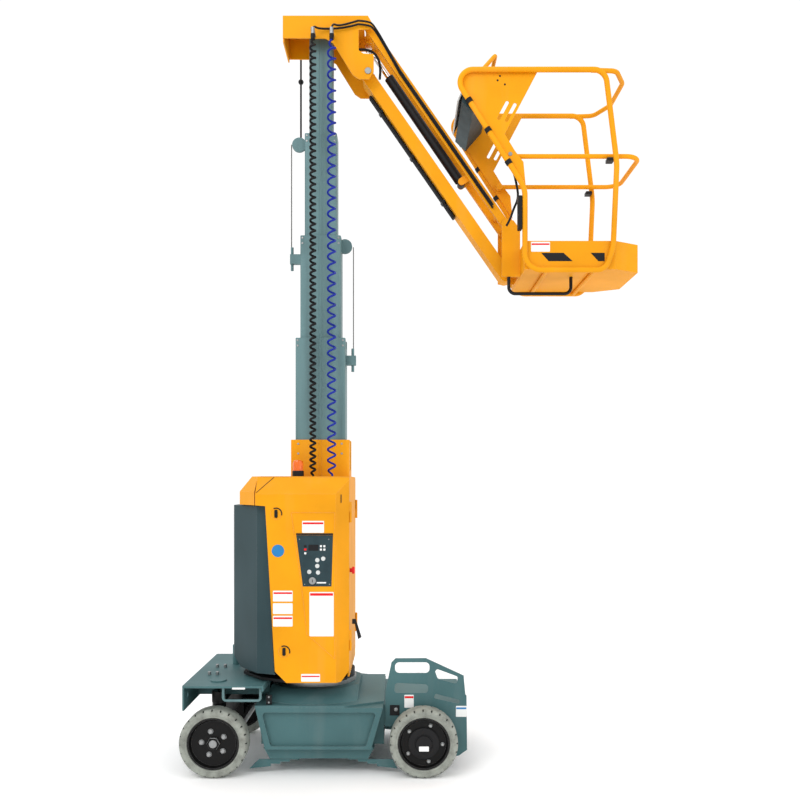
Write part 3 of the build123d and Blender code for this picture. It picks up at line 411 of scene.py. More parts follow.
class Graph:
    """One material's node tree, with one method that adds any node."""

    def __init__(self, name: str) -> None:
        """Start a material that holds only a Principled shader.

        Args:
            name: the material's name.
        """
        self.material = bpy.data.materials.new(name)
        self.material.use_nodes = True
        self.tree = self.material.node_tree
        self.shader = self.tree.nodes["Principled BSDF"]
        self.place = Field(self, self.node("ShaderNodeTexCoord").outputs["Object"])

    def node(self, kind: str, settings: dict[str, object] | None = None, **inputs: object) -> bpy.types.Node:
        """Add a node.

        Args:
            kind: the node's type.
            settings: its own settings, such as a Math node's operation, set first.
            inputs: value or Field for each socket, named with _ for spaces, or in_0, in_1 by number.

        Returns:
            The node.
        """
        made = self.tree.nodes.new(kind)
        for key, value in (settings or {}).items():
            setattr(made, key, value)
        for key, value in inputs.items():
            name = int(key[3:]) if key.startswith("in_") else key.replace("_", " ")
            self.feed(made.inputs[name], value)
        return made

    def feed(self, socket: bpy.types.NodeSocket, value: object) -> None:
        """Link a Field to a socket, or set its value.

        Args:
            socket: the input socket.
            value: a Field, or what the socket holds.
        """
        if isinstance(value, Field):
            self.tree.links.new(value.socket, socket)
        else:
            socket.default_value = value

    def math(self, operation: str, *operands: Field | float) -> Field:
        """Add a Math node on the operands and return its value."""
        inputs = {f"in_{i}": value for i, value in enumerate(operands)}
        return Field(self, self.node("ShaderNodeMath", {"operation": operation}, **inputs).outputs[0])

    def noise(self, scale: float, detail: float = 4.0, stretch: Place = (1.0, 1.0, 1.0),
              roughness: float = 0.5) -> Field:
        """Noise in the surface's own metres.

        Args:
            scale: waves per metre.
            detail: octaves.
            stretch: factor on each axis.
            roughness: strength of the finer octaves.

        Returns:
            Values about 0.5.
        """
        mapped = self.node("ShaderNodeMapping", Vector=self.place, Scale=stretch)
        texture = self.node("ShaderNodeTexNoise", Vector=Field(self, mapped.outputs[0]), Scale=scale,
                            Detail=detail, Roughness=roughness)
        return Field(self, texture.outputs["Fac"])

    def mix(self, factor: Field | float, first: object, second: object) -> Field:
        """Mix two colours: first (1 - factor) + second factor.

        Args:
            factor: share of the second colour.
            first: Field or three numbers.
            second: Field or three numbers.

        Returns:
            The mixed colour.
        """
        node = self.node("ShaderNodeMix", {"data_type": "RGBA"})
        self.feed(node.inputs["Factor"], factor)
        for socket, value in zip((node.inputs[6], node.inputs[7]), (first, second)):
            self.feed(socket, value if isinstance(value, Field) else (*value, 1.0))
        return Field(self, node.outputs[2])

    def edge(self, radius: float) -> tuple[Field, Field]:
        """Rounded normal at edges, and a mask that is 1 on them.

        Args:
            radius: width of the rounding.

        Returns:
            The normal and the mask.
        """
        rounded = self.node("ShaderNodeBevel", {"samples": 4}, Radius=radius)
        normal = Field(self, rounded.outputs[0])
        flat = Field(self, self.node("ShaderNodeNewGeometry").outputs["Normal"])
        dot = self.node("ShaderNodeVectorMath", {"operation": "DOT_PRODUCT"}, in_0=normal, in_1=flat)
        mask = Field(self, dot.outputs["Value"]).band(0.995, 0.9)
        return normal, mask

    def finish(self, colour: object, roughness: Field | float, bump: Field | None = None,
               depth: float = 0.0003, normal: Field | None = None, **constants: object) -> bpy.types.Material:
        """Join the colour, roughness and bump to the shader.

        Args:
            colour: Field or three numbers.
            roughness: Field or number.
            bump: height that varies from 0 to 1.
            depth: height of a full step of bump.
            normal: normal under the bump.
            constants: values of other sockets of the shader.

        Returns:
            The material.
        """
        self.feed(self.shader.inputs["Base Color"], colour if isinstance(colour, Field) else (*colour, 1.0))
        self.feed(self.shader.inputs["Roughness"], roughness)
        if bump is not None:
            node = self.node("ShaderNodeBump", Height=bump, Distance=depth, Strength=1.0)
            if normal is not None:
                self.feed(node.inputs["Normal"], normal)
            normal = Field(self, node.outputs[0])
        if normal is not None:
            self.feed(self.shader.inputs["Normal"], normal)
        for name, value in constants.items():
            self.feed(self.shader.inputs[name.replace("_", " ")], value)
        return self.material


def toned(colour: Colour, factor: float, lift: float = 0.0) -> Colour:
    """A colour whose parts are each factor x part + lift, at most 1."""
    return tuple(min(1.0, factor * part + lift) for part in colour)


@dataclass(frozen=True)
class Paint:
    """Powder coat: fine orange peel, faint cloudiness, streaks of dust and paler rubbed edges."""

    name: str
    colour: Colour
    gloss: float = 0.32
    dust: float = 0.10
    edge_radius: float = 0.0025
    wear: float = 0.25
    worn_tone: float = 0.9
    shade: float = 0.80
    dust_tone: tuple[float, float] = (0.55, 0.16)
    cloud_scale: float = 2.2
    speck_scale: float = 160.0
    streak_scale: float = 9.0
    peel: float = 0.00006

    def material(self) -> bpy.types.Material:
        """Build the material: colour = paint, darkened by clouds, greyed by dust and lightened at edges.

        Returns:
            The material.
        """
        graph = Graph(self.name)
        normal, edges = graph.edge(self.edge_radius)
        clouds = graph.noise(self.cloud_scale, 6.0)
        specks = graph.noise(self.speck_scale, 3.0)
        streaks = graph.noise(self.streak_scale, 4.0, (1.0, 1.0, 0.12))
        light = toned(self.colour, 1.0 - self.wear, self.wear * self.worn_tone)
        base = graph.mix(clouds.band(0.35, 0.7), self.colour, toned(self.colour, self.shade))
        base = graph.mix(streaks.band(0.52, 0.75) * self.dust, base, toned(self.colour, *self.dust_tone))
        base = graph.mix(edges * specks.band(0.35, 0.6) * 0.6, base, light)
        rough = clouds * 0.12 + (self.gloss - 0.04) + streaks.band(0.5, 0.8) * 0.10
        return graph.finish(base, rough, specks, self.peel, normal, Specular_IOR_Level=0.18)


@dataclass(frozen=True)
class Section:
    """Anodised aluminium section: fine lines along Z, faint streaks and rub marks."""

    name: str
    colour: Colour
    roughness: float = 0.38
    metal: float = 0.55
    edge_radius: float = 0.002
    shade: float = 0.62
    shine: float = 1.35
    line_scale: float = 220.0
    line_depth: float = 0.00004
    smear_scale: float = 12.0
    spot_scale: float = 5.0

    def material(self) -> bpy.types.Material:
        """Build the material: colour and roughness vary with noise drawn out along Z.

        Returns:
            The material.
        """
        graph = Graph(self.name)
        normal, edges = graph.edge(self.edge_radius)
        lines = graph.noise(self.line_scale, 3.0, (1.0, 1.0, 0.02))
        smears = graph.noise(self.smear_scale, 5.0, (1.0, 1.0, 0.07))
        spots = graph.noise(self.spot_scale, 5.0)
        dark = toned(self.colour, self.shade)
        base = graph.mix(smears.band(0.42, 0.72), self.colour, dark)
        base = graph.mix(edges * 0.7, base, toned(self.colour, self.shine))
        base = graph.mix(spots.band(0.58, 0.72) * 0.35, base, dark)
        rough = lines * 0.18 + (self.roughness - 0.09) + smears * 0.08
        return graph.finish(base, rough, lines, self.line_depth, normal, Metallic=self.metal)


@dataclass(frozen=True)
class Metal:
    """Plated or polished steel with fine scratches."""

    name: str
    colour: Colour
    roughness: float = 0.25
    stain: float = 0.3
    edge_radius: float = 0.001
    shade: float = 0.45
    stain_scale: float = 35.0
    scratch_scale: float = 300.0
    scratch_depth: float = 0.00003

    def material(self) -> bpy.types.Material:
        """Build the material: stains of noise darken the colour and dull the gloss.

        Returns:
            The material.
        """
        graph = Graph(self.name)
        normal, _ = graph.edge(self.edge_radius)
        stains = graph.noise(self.stain_scale, 5.0)
        scratches = graph.noise(self.scratch_scale, 2.0, (0.1, 1.0, 1.0))
        base = graph.mix(stains.band(0.5, 0.75) * self.stain, self.colour, toned(self.colour, self.shade))
        rough = stains * 0.2 + scratches * 0.08 + (self.roughness - 0.12)
        return graph.finish(base, rough, scratches, self.scratch_depth, normal, Metallic=1.0)


@dataclass(frozen=True)
class Moulded:
    """Moulded plastic or rubber with a fine grain."""

    name: str
    colour: Colour
    roughness: float = 0.5
    grain: float = 400.0
    depth: float = 0.00012
    mottle: float = 0.25
    edge_radius: float = 0.0015
    edge_tone: tuple[float, float] = (1.25, 0.01)
    patch_scale: float = 14.0

    def material(self) -> bpy.types.Material:
        """Build the material: grain is fine noise, mottle darkens the colour in soft patches.

        Returns:
            The material.
        """
        graph = Graph(self.name)
        normal, edges = graph.edge(self.edge_radius)
        grain = graph.noise(self.grain, 2.0)
        patches = graph.noise(self.patch_scale, 5.0)
        base = graph.mix(patches.band(0.4, 0.7), self.colour, toned(self.colour, 1.0 - self.mottle))
        base = graph.mix(edges * 0.5, base, toned(self.colour, *self.edge_tone))
        rough = patches * 0.12 + grain * 0.08 + (self.roughness - 0.10)
        return graph.finish(base, rough, grain, self.depth, normal, Specular_IOR_Level=0.25)


@dataclass(frozen=True)
class Tread:
    """Pale non-marking tyre rubber with patches of dirt and paler rubbed edges."""

    name: str
    colour: Colour
    dirt: Colour
    edge_radius: float = 0.003
    rubbed: float = 1.3
    coarse_scale: float = 16.0
    fine_scale: float = 180.0
    depth: float = 0.0004

    def material(self) -> bpy.types.Material:
        """Build the material: dirt mixes in by coarse and fine noise together.

        Returns:
            The material.
        """
        graph = Graph(self.name)
        normal, edges = graph.edge(self.edge_radius)
        coarse = graph.noise(self.coarse_scale, 6.0, roughness=0.65)
        fine = graph.noise(self.fine_scale, 4.0)
        base = graph.mix(coarse.band(0.42, 0.68) * 0.75, self.colour, self.dirt)
        base = graph.mix(fine.band(0.55, 0.75) * 0.35, base, self.dirt)
        base = graph.mix(edges * 0.35, base, toned(self.colour, self.rubbed))
        return graph.finish(base, coarse * 0.1 + 0.72, fine, self.depth, normal)


@dataclass(frozen=True)
class Lens:
    """Clear coloured plastic of a lamp."""

    name: str
    colour: Colour
    shade: float = 0.7
    cloud_scale: float = 30.0
    clear: float = 0.35
    refraction: float = 1.49
    glow: float = 0.08

    def material(self) -> bpy.types.Material:
        """Build the material: half clear, with a faint cloudiness in its colour.

        Returns:
            The material.
        """
        graph = Graph(self.name)
        clouds = graph.noise(self.cloud_scale, 3.0)
        base = graph.mix(clouds, self.colour, toned(self.colour, self.shade))
        return graph.finish(base, clouds * 0.05 + 0.1, Transmission_Weight=self.clear, IOR=self.refraction,
                            Emission_Color=(*self.colour, 1.0), Emission_Strength=self.glow)


YELLOW = Paint("yellow paint", (0.86, 0.345, 0.0010), 0.52)
GREY = Paint("chassis paint", (0.068, 0.155, 0.163), 0.48, 0.20)
WEIGHT = Paint("counterweight paint", (0.026, 0.055, 0.063), 0.50, 0.06, 0.004)
MAST = Section("mast section", (0.125, 0.225, 0.235), 0.46, 0.30)
RIM = Paint("rim enamel", (0.003, 0.003, 0.003), 0.35, 0.01)
TYRE = Tread("tyre rubber", (0.31, 0.33, 0.29), (0.13, 0.135, 0.12))
BLACK = Moulded("black plastic", (0.006, 0.006, 0.007), 0.50)
BLACK_RUBBER = Moulded("black rubber", (0.003, 0.003, 0.004), 0.50, 250.0)
BLUE_RUBBER = Moulded("blue hose", (0.004, 0.020, 0.30), 0.40, 250.0)
PANEL = Moulded("panel plastic", (0.020, 0.045, 0.054), 0.50, 600.0)
STEEL = Metal("zinc plate", (0.34, 0.35, 0.35), 0.38)
CHROME = Metal("chrome rod", (0.85, 0.86, 0.87), 0.10, 0.1)
RED = Moulded("red plastic", (0.75, 0.01, 0.012), 0.25, 500.0, 0.00004, 0.1)
AMBER = Lens("amber lens", (1.0, 0.20, 0.005))
LABEL = Moulded("label film", (0.82, 0.83, 0.82), 0.35, 700.0, 0.00002, 0.04)
BLUE_LABEL = Moulded("blue film", (0.02, 0.20, 0.48), 0.35, 700.0, 0.00002, 0.05)
GLAND = Moulded("gland plastic", (0.62, 0.64, 0.63), 0.4, 500.0)
CHAIN = Metal("chain steel", (0.20, 0.20, 0.19), 0.40, 0.5)

FLOOR = Moulded("floor", (0.99, 0.99, 0.99), 0.8, 20.0, 0.0, 0.0)

Finish = Paint | Section | Metal | Moulded | Tread | Lens
SLOT_FINISH: dict[str, Finish] = {
    "yellow_paint": YELLOW, "chassis_grey": GREY, "counterweight_grey": WEIGHT, "mast_grey": MAST,
    "tyre_grey": TYRE, "rim_black": RIM, "black_plastic": BLACK, "black_rubber": BLACK_RUBBER,
    "blue_rubber": BLUE_RUBBER, "panel_grey": PANEL, "steel": STEEL, "chrome": CHROME, "red_plastic": RED,
    "amber_lens": AMBER, "battery_black": BLACK,
}
SHARP = math.radians(35)
BEVELLED = math.radians(30)
MATERIALS: dict[str, bpy.types.Material] = {}
NODE_SLOTS: dict[str, str] = {}


def material_of(finish: Finish) -> bpy.types.Material:
    """Make a finish's material once, and give the same one afterwards.

    Args:
        finish: the finish.

    Returns:
        Its material.
    """
    if finish.name not in MATERIALS:
        MATERIALS[finish.name] = finish.material()
    return MATERIALS[finish.name]


def piece(name: str, shape: Shape | bpy.types.Mesh, finish: Finish, body: str | None,
          bevel: float = 0.0) -> bpy.types.Object:
    """Make a Blender object of a shape.

    Args:
        name: the piece's name.
        shape: its surface, or a finished mesh.
        finish: its finish.
        body: the body that it rides on, or None.
        bevel: width of rounded edges.

    Returns:
        The object.
    """
    if isinstance(shape, Shape):
        mesh = bpy.data.meshes.new(name)
        mesh.from_pydata(shape.points.tolist(), [], shape.faces)
        tidy = bmesh.new()
        tidy.from_mesh(mesh)
        bmesh.ops.recalc_face_normals(tidy, faces=tidy.faces)
        tidy.to_mesh(mesh)
        tidy.free()
    else:
        mesh = shape
        mesh.name = name
    mesh.shade_smooth()
    mesh.set_sharp_from_angle(angle=SHARP)
    mesh.materials.clear()
    mesh.materials.append(material_of(finish))
    made = bpy.data.objects.new(name, mesh)
    bpy.context.scene.collection.objects.link(made)
    if bevel:
        modifier = made.modifiers.new("rounded edges", "BEVEL")
        modifier.width = bevel
        modifier.segments = 2
        modifier.limit_method = "ANGLE"
        modifier.angle_limit = BEVELLED
    if body:
        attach(made, body)
    LOG.info("piece %s: %d faces on %s", name, len(mesh.polygons), body)
    return made


# Sub-assemblies


@dataclass
class Studio:
    """Pale floor and background, soft lights, and the camera at eye level.

    A row of lamps is its name, place, the point that it faces, its width and its share of the key's power.
    """

    camera_place: Place = (0.514, -5.341, 1.670)
    lens: float = 38.43
    sensor: float = 36.0
    shift: float = 0.106
    floor_reach: float = 60.0
    floor_thickness: float = 0.02
    sky: float = 1.05
    key: float = 210.0
    lamps: tuple[tuple[str, Place, Place, float, float], ...] = (
        ("key", (-3.4, -6.5, 7.5), (0.2, 0.0, 2.0), 4.0, 1.0),
        ("fill", (5.5, -4.5, 4.0), (0.3, 0.0, 2.0), 4.0, 0.22),
        ("top", (0.0, 1.0, 9.5), (0.0, 0.0, 1.0), 5.0, 0.5),
    )

    def build(self) -> None:
        """Make the floor, the world, the lights and the camera."""
        scene = bpy.context.scene
        ground = Shape.plate(polygon(4, self.floor_reach), self.floor_thickness)
        piece("floor", ground.at(0.0, 0.0, -self.floor_thickness), FLOOR, None)
        world = bpy.data.worlds.new("studio")
        world.use_nodes = True
        background = world.node_tree.nodes["Background"]
        background.inputs["Color"].default_value = (1.0, 1.0, 1.0, 1.0)
        background.inputs["Strength"].default_value = self.sky
        scene.world = world
        for name, place, aim, size, share in self.lamps:
            self.lamp(name, place, aim, size, share * self.key)
        camera = bpy.data.cameras.new("camera")
        camera.sensor_width = self.sensor
        camera.lens = self.lens
        camera.shift_y = self.shift
        holder = bpy.data.objects.new("camera", camera)
        holder.location = self.camera_place
        holder.rotation_euler = (math.pi / 2, 0.0, 0.0)
        scene.collection.objects.link(holder)
        scene.camera = holder
        scene.view_settings.view_transform = "Standard"

    def lamp(self, name: str, place: Place, aim: Place, size: float, power: float) -> None:
        """Add a square area light that faces a point.

        Args:
            name: the lamp's name.
            place: where it stands.
            aim: the point that it faces.
            size: width of its square.
            power: its power in watts.
        """
        light = bpy.data.lights.new(name, "AREA")
        light.size = size
        light.energy = power
        holder = bpy.data.objects.new(name, light)
        holder.location = place
        holder.rotation_euler = (Vector(aim) - Vector(place)).to_track_quat("-Z", "Y").to_euler()
        bpy.context.scene.collection.objects.link(holder)


@dataclass
class CurlyCord:
    """A coiled cord from the roof to the head, in one stretch between each two mast bodies."""

    name: str
    x: float
    outer_radius: float
    wire: float
    pitch: float
    finish: Moulded
    slot: str
    y: float = -0.200
    bottom: float = 1.720
    top: float = 4.352
    per_turn: int = 12
    end_share: float = 0.15
    end_height: float = 0.05
    bodies: tuple[str, ...] = ("turret", "mast_1", "mast_2", "mast_3", "mast_4")

    def build(self) -> None:
        """Make the stretches. A point at height z is at angle 360 z / pitch on the helix, and the helix
        closes to the middle at both ends of the whole cord."""
        helix = self.outer_radius - self.wire
        stretch = (self.top - self.bottom) / (len(self.bodies) - 1)
        for k, (low, high) in enumerate(zip(self.bodies, self.bodies[1:])):
            z0 = self.bottom + k * stretch
            count = int(stretch / self.pitch * self.per_turn) + 2
            z = np.linspace(z0, z0 + stretch, count)
            angle = TURN * (z - self.bottom) / self.pitch
            end = np.minimum(z - self.bottom, self.top - z)
            radius = helix * np.clip(self.end_share + end / self.end_height, 0.0, 1.0)
            turns = np.column_stack([self.x + radius * np.cos(angle), self.y + radius * np.sin(angle), z])
            name = f"{self.name}_{k + 1}"
            line = route(turns, name)
            tube = piece(name, spline_points(turns, name, self.wire), self.finish, None)
            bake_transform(tube)
            if k == 0:
                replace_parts(tube, self.name)


@dataclass(frozen=True)
class HubBolts:
    """Bolts of one kind of hub: the radius of their circle, the first one's angle, and the head's sizes."""

    circle: float
    start_deg: float
    across: float
    height: float
    washer: float


@dataclass
class Wheels:
    """Tyres with lugs on both shoulders, and the nuts, bolts and caps of the four wheels.

    wall is half the tyre's section, as radius and distance from the middle plane. lug_steps_deg are the
    angles of one lug's rings, and notch_steps says which of them lie in the notch. Profiles are radius and
    height.
    """

    radius: float = 0.195
    y: float = 0.4325
    web_out: float = 0.0325
    places: dict[str, float] = field(default_factory=lambda: {"steer": -0.550, "drive": 0.650})
    wall: Outline = (
        (0.1480, 0.0520), (0.1520, 0.0580), (0.1600, 0.0605), (0.1615, 0.0585), (0.1630, 0.0605),
        (0.1740, 0.0625), (0.1840, 0.0622), (0.1905, 0.0570), (0.1950, 0.0480), (0.1950, 0.0385),
        (0.1950, 0.0384), (0.1950, 0.0120),
    )
    lugs: int = 24
    lug_steps_deg: tuple[float, ...] = (0.0, 0.2, 2.7, 2.9, 6.0, 9.0, 12.0)
    notch_steps: tuple[int, ...] = (0, 1, 1, 0, 0, 0, 0)
    notch_depth: float = 0.009
    notch_foot: float = 0.183
    shoulder: float = 0.0385
    shoulder_foot: float = 0.184
    shoulder_slope: float = 1.3
    # Black blocks in the tyre's notches are painted shade.
    notch_shade_size: Place = (0.0135, 0.0058, 0.0045)
    notch_shade_place: Place = (0.1868, 0.0, 0.0580)
    notch_shade_angle_deg: float = 1.45
    lip_radius: float = 0.1435
    lip_wire: float = 0.004
    lip_out: float = 0.019
    bolt_count: int = 5
    bolts: dict[str, HubBolts] = field(default_factory=lambda: {
        "steer": HubBolts(0.069, 32, 0.030, 0.014, 0.016), "drive": HubBolts(0.107, -3, 0.022, 0.011, 0.0115),
    })
    nut_radius: float = 0.038
    nut_height: float = 0.014
    nut_out: float = 0.005
    dome: Outline = ((0.024, 0.014), (0.022, 0.019), (0.014, 0.0225), (0.0005, 0.024))
    cap: Outline = ((0.050, 0.0), (0.050, 0.022), (0.044, 0.030), (0.0005, 0.031))
    cap_ring: Outline = ((0.088, 0.0), (0.088, 0.010), (0.080, 0.014), (0.030, 0.014))
    plate_size: tuple[float, float] = (0.056, 0.028)
    plate_place: Place = (0.0, -0.024, 0.0310)

    def tyre(self) -> Shape:
        """Carry the tyre's section round its axle.

        Returns:
            The tyre about Z, whose section point (r, h) comes nearer the axle by the notch's depth where it
            lies past the shoulder and between two lugs.
        """
        half = np.array(self.wall)
        section = np.vstack([half * (1, -1), half[::-1]])
        between = np.tile(self.notch_steps, self.lugs).astype(bool)
        angle = (np.arange(self.lugs)[:, None] * TURN / self.lugs + np.radians(self.lug_steps_deg)).ravel()
        r = np.broadcast_to(section[:, 0], (len(angle), len(section))).copy()
        past = (np.abs(section[:, 1]) >= self.shoulder) & (section[:, 0] > self.notch_foot)
        notched = np.ix_(between, past)
        r[notched] = np.minimum(r[notched], self.radius - self.notch_depth)
        h = np.broadcast_to(section[:, 1], r.shape)
        rings = np.stack([r * np.cos(angle)[:, None], r * np.sin(angle)[:, None], h], axis=-1)
        return Shape.loft(rings, closed=True)

    def notch_shade_blocks(self) -> Shape:
        """Painted shade in the notches: one black block turned about Z to each notch of both walls.

        Returns:
            The blocks, which slope with the tyre's shoulder and so stay within the tyre's outline: a point at
            radius r sinks by the slope times its distance past the shoulder's foot.
        """
        block = slab(*self.notch_shade_size, 0.001).at(*self.notch_shade_place)
        sink = self.shoulder_slope * np.maximum(block.points[:, 0] - self.shoulder_foot, 0.0)
        sloped = block.points - np.outer(sink, (0.0, 0.0, 1.0))
        angles = np.arange(self.lugs) * TURN / self.lugs + math.radians(self.notch_shade_angle_deg)
        outer, inner = (Shape(sloped * (1.0, side, side), block.faces).spun(angles) for side in (1.0, -1.0))
        return outer + inner

    def build(self) -> None:
        """Make each tyre, the painted shade in its notches, and the fittings on the outer face of each wheel.
        """
        for axle, x in self.places.items():
            for side, way in (("near", Way.NEAR), ("far", Way.FAR)):
                body = f"wheel_{axle}_{side}"
                out = way.vector
                axle_line = np.array((x, 0.0, self.radius))
                middle = axle_line + self.y * out
                tyre = self.tyre().facing(out).at(*middle)
                tyre = piece(f"lugged_tyre_{axle}_{side}", tyre, TYRE, body)
                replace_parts(tyre, f"tyre_{axle}_{side}")
                # Black blocks of painted shade in the notches.
                notch_shades = self.notch_shade_blocks().facing(out).at(*middle)
                piece(f"lug_notches_{axle}_{side}", notch_shades, BLACK_RUBBER, body)
                face = axle_line + (self.y + self.web_out) * out
                self.hub(axle, side, face, out)
                lip = Shape.tube(ring_path(self.lip_radius), self.lip_wire, 8, Way.UP.value).facing(out)
                piece(f"rim_lip_{axle}_{side}", lip.at(*(face + self.lip_out * out)), RIM, body)

    def hub(self, axle: str, side: str, face: np.ndarray, out: np.ndarray) -> None:
        """Make one hub's fittings: light bolts, and a nut on the kingpin's stub axle or a cap on the drive.

        Args:
            axle: steer or drive.
            side: near or far.
            face: middle of the rim's outer face.
            out: direction away from the machine.
        """
        body = f"wheel_{axle}_{side}"
        kind = self.bolts[axle]
        places = circle_places(self.bolt_count, kind.circle, math.radians(kind.start_deg))
        heads = hex_bolt(kind.across, kind.height, kind.washer).repeated(places)
        piece(f"bolts_{axle}_{side}", heads.facing(out).at(*face), STEEL, body)
        if axle == "steer":
            nut = Shape.plate(polygon(6, self.nut_radius), self.nut_height, 0.004)
            nut = (nut + Shape.turned(self.dome, 32)).facing(out).at(*(face + self.nut_out * out))
            piece(f"axle_nut_{side}", nut, STEEL, f"knuckle_{side}")
            return
        cap = Shape.turned(self.cap_ring, 48) + Shape.turned(self.cap, 40)
        piece(f"hub_cap_{side}", cap.facing(out).at(*face), BLACK, body)
        plate = Shape.plate(rounded_outline(*self.plate_size, 0.003), 0.001).at(*self.plate_place)
        piece(f"hub_plate_{side}", plate.facing(out).at(*face), LABEL, body)


@dataclass(frozen=True)
class Fitting:
    """A kind of small fitting: one shape at each of its places on one body."""

    name: str
    body: str
    finish: Finish
    shape: Shape
    way: Way
    places: tuple[Place, ...]

    def build(self) -> None:
        """Make all the copies as one piece."""
        copies = self.shape.facing(self.way.vector).repeated(np.array(self.places))
        piece(self.name, copies, self.finish, self.body)


@dataclass
class Deck:
    """Studs, kingpin caps and brackets on the chassis, and the fittings of the turret's front and roof."""

    top: float = 0.521
    kingpin: tuple[float, float] = (-0.550, 0.330)
    studs: Outline = ((-0.638, -0.177), (-0.590, -0.177), (-0.635, 0.036), (-0.585, 0.036))
    strip: Place = (-0.407, -0.470, 0.508)
    stop_bracket: Place = (-0.241, -0.420, 0.432)
    guard_bracket: Place = (0.483, -0.338, 0.350)
    beacon: tuple[float, float] = (-0.095, -0.235)
    roof: float = 1.720
    foot_radius: float = 0.0345
    foot_height: float = 0.034
    lens: Outline = ((0.031, 0.0), (0.0315, 0.045), (0.028, 0.057), (0.020, 0.063), (0.0005, 0.066))
    lever: Outline = (
        (0.0, -0.014), (0.0, 0.014), (0.022, 0.014), (0.055, -0.092), (0.036, -0.104), (0.016, -0.014),
    )
    lever_width: float = 0.018
    lever_place: Place = (0.2315, -0.291, 0.864)

    def build(self) -> None:
        """Make every fitting."""
        x, y = self.kingpin
        for fitting in (
            Fitting("kingpin_caps", "chassis", GREY, drum(0.047, 0.008, 0.002, 40), Way.UP,
                    ((x, -y, self.top), (x, y, self.top))),
            Fitting("deck_studs", "chassis", STEEL, drum(0.010, 0.020, 0.002), Way.UP,
                    tuple((*stud, self.top) for stud in self.studs)),
            Fitting("deck_strip", "chassis", LABEL, slab(0.074, 0.011, 0.0008), Way.NEAR, (self.strip,)),
            Fitting("stop_bracket", "chassis", BLACK, slab(0.034, 0.056, 0.004), Way.NEAR,
                    (self.stop_bracket,)),
            Fitting("stop_bracket_bolts", "chassis", STEEL, hex_bolt(0.012, 0.005), Way.NEAR,
                    ((-0.241, -0.424, 0.448), (-0.241, -0.424, 0.417))),
            Fitting("guard_bracket", "chassis", BLACK, slab(0.056, 0.060, 0.004), Way.NEAR,
                    (self.guard_bracket,)),
            Fitting("guard_bracket_bolt", "chassis", STEEL, hex_bolt(0.018, 0.007, 0.011), Way.NEAR,
                    ((0.490, -0.342, 0.355),)),
        ):
            fitting.build()
        foot = drum(self.foot_radius, self.foot_height, 0.003, 40).at(*self.beacon, self.roof)
        piece("beacon_foot", foot, BLACK, "turret")
        lens = Shape.turned(self.lens, 40).at(*self.beacon, self.roof + self.foot_height)
        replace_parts(piece("beacon_lens", lens, AMBER, "turret"), "beacon")
        lever = Shape.plate(np.array(self.lever), self.lever_width).facing(Way.NEAR.vector)
        piece("hand_lever", lever.at(*self.lever_place), BLACK, "turret", bevel=0.002)


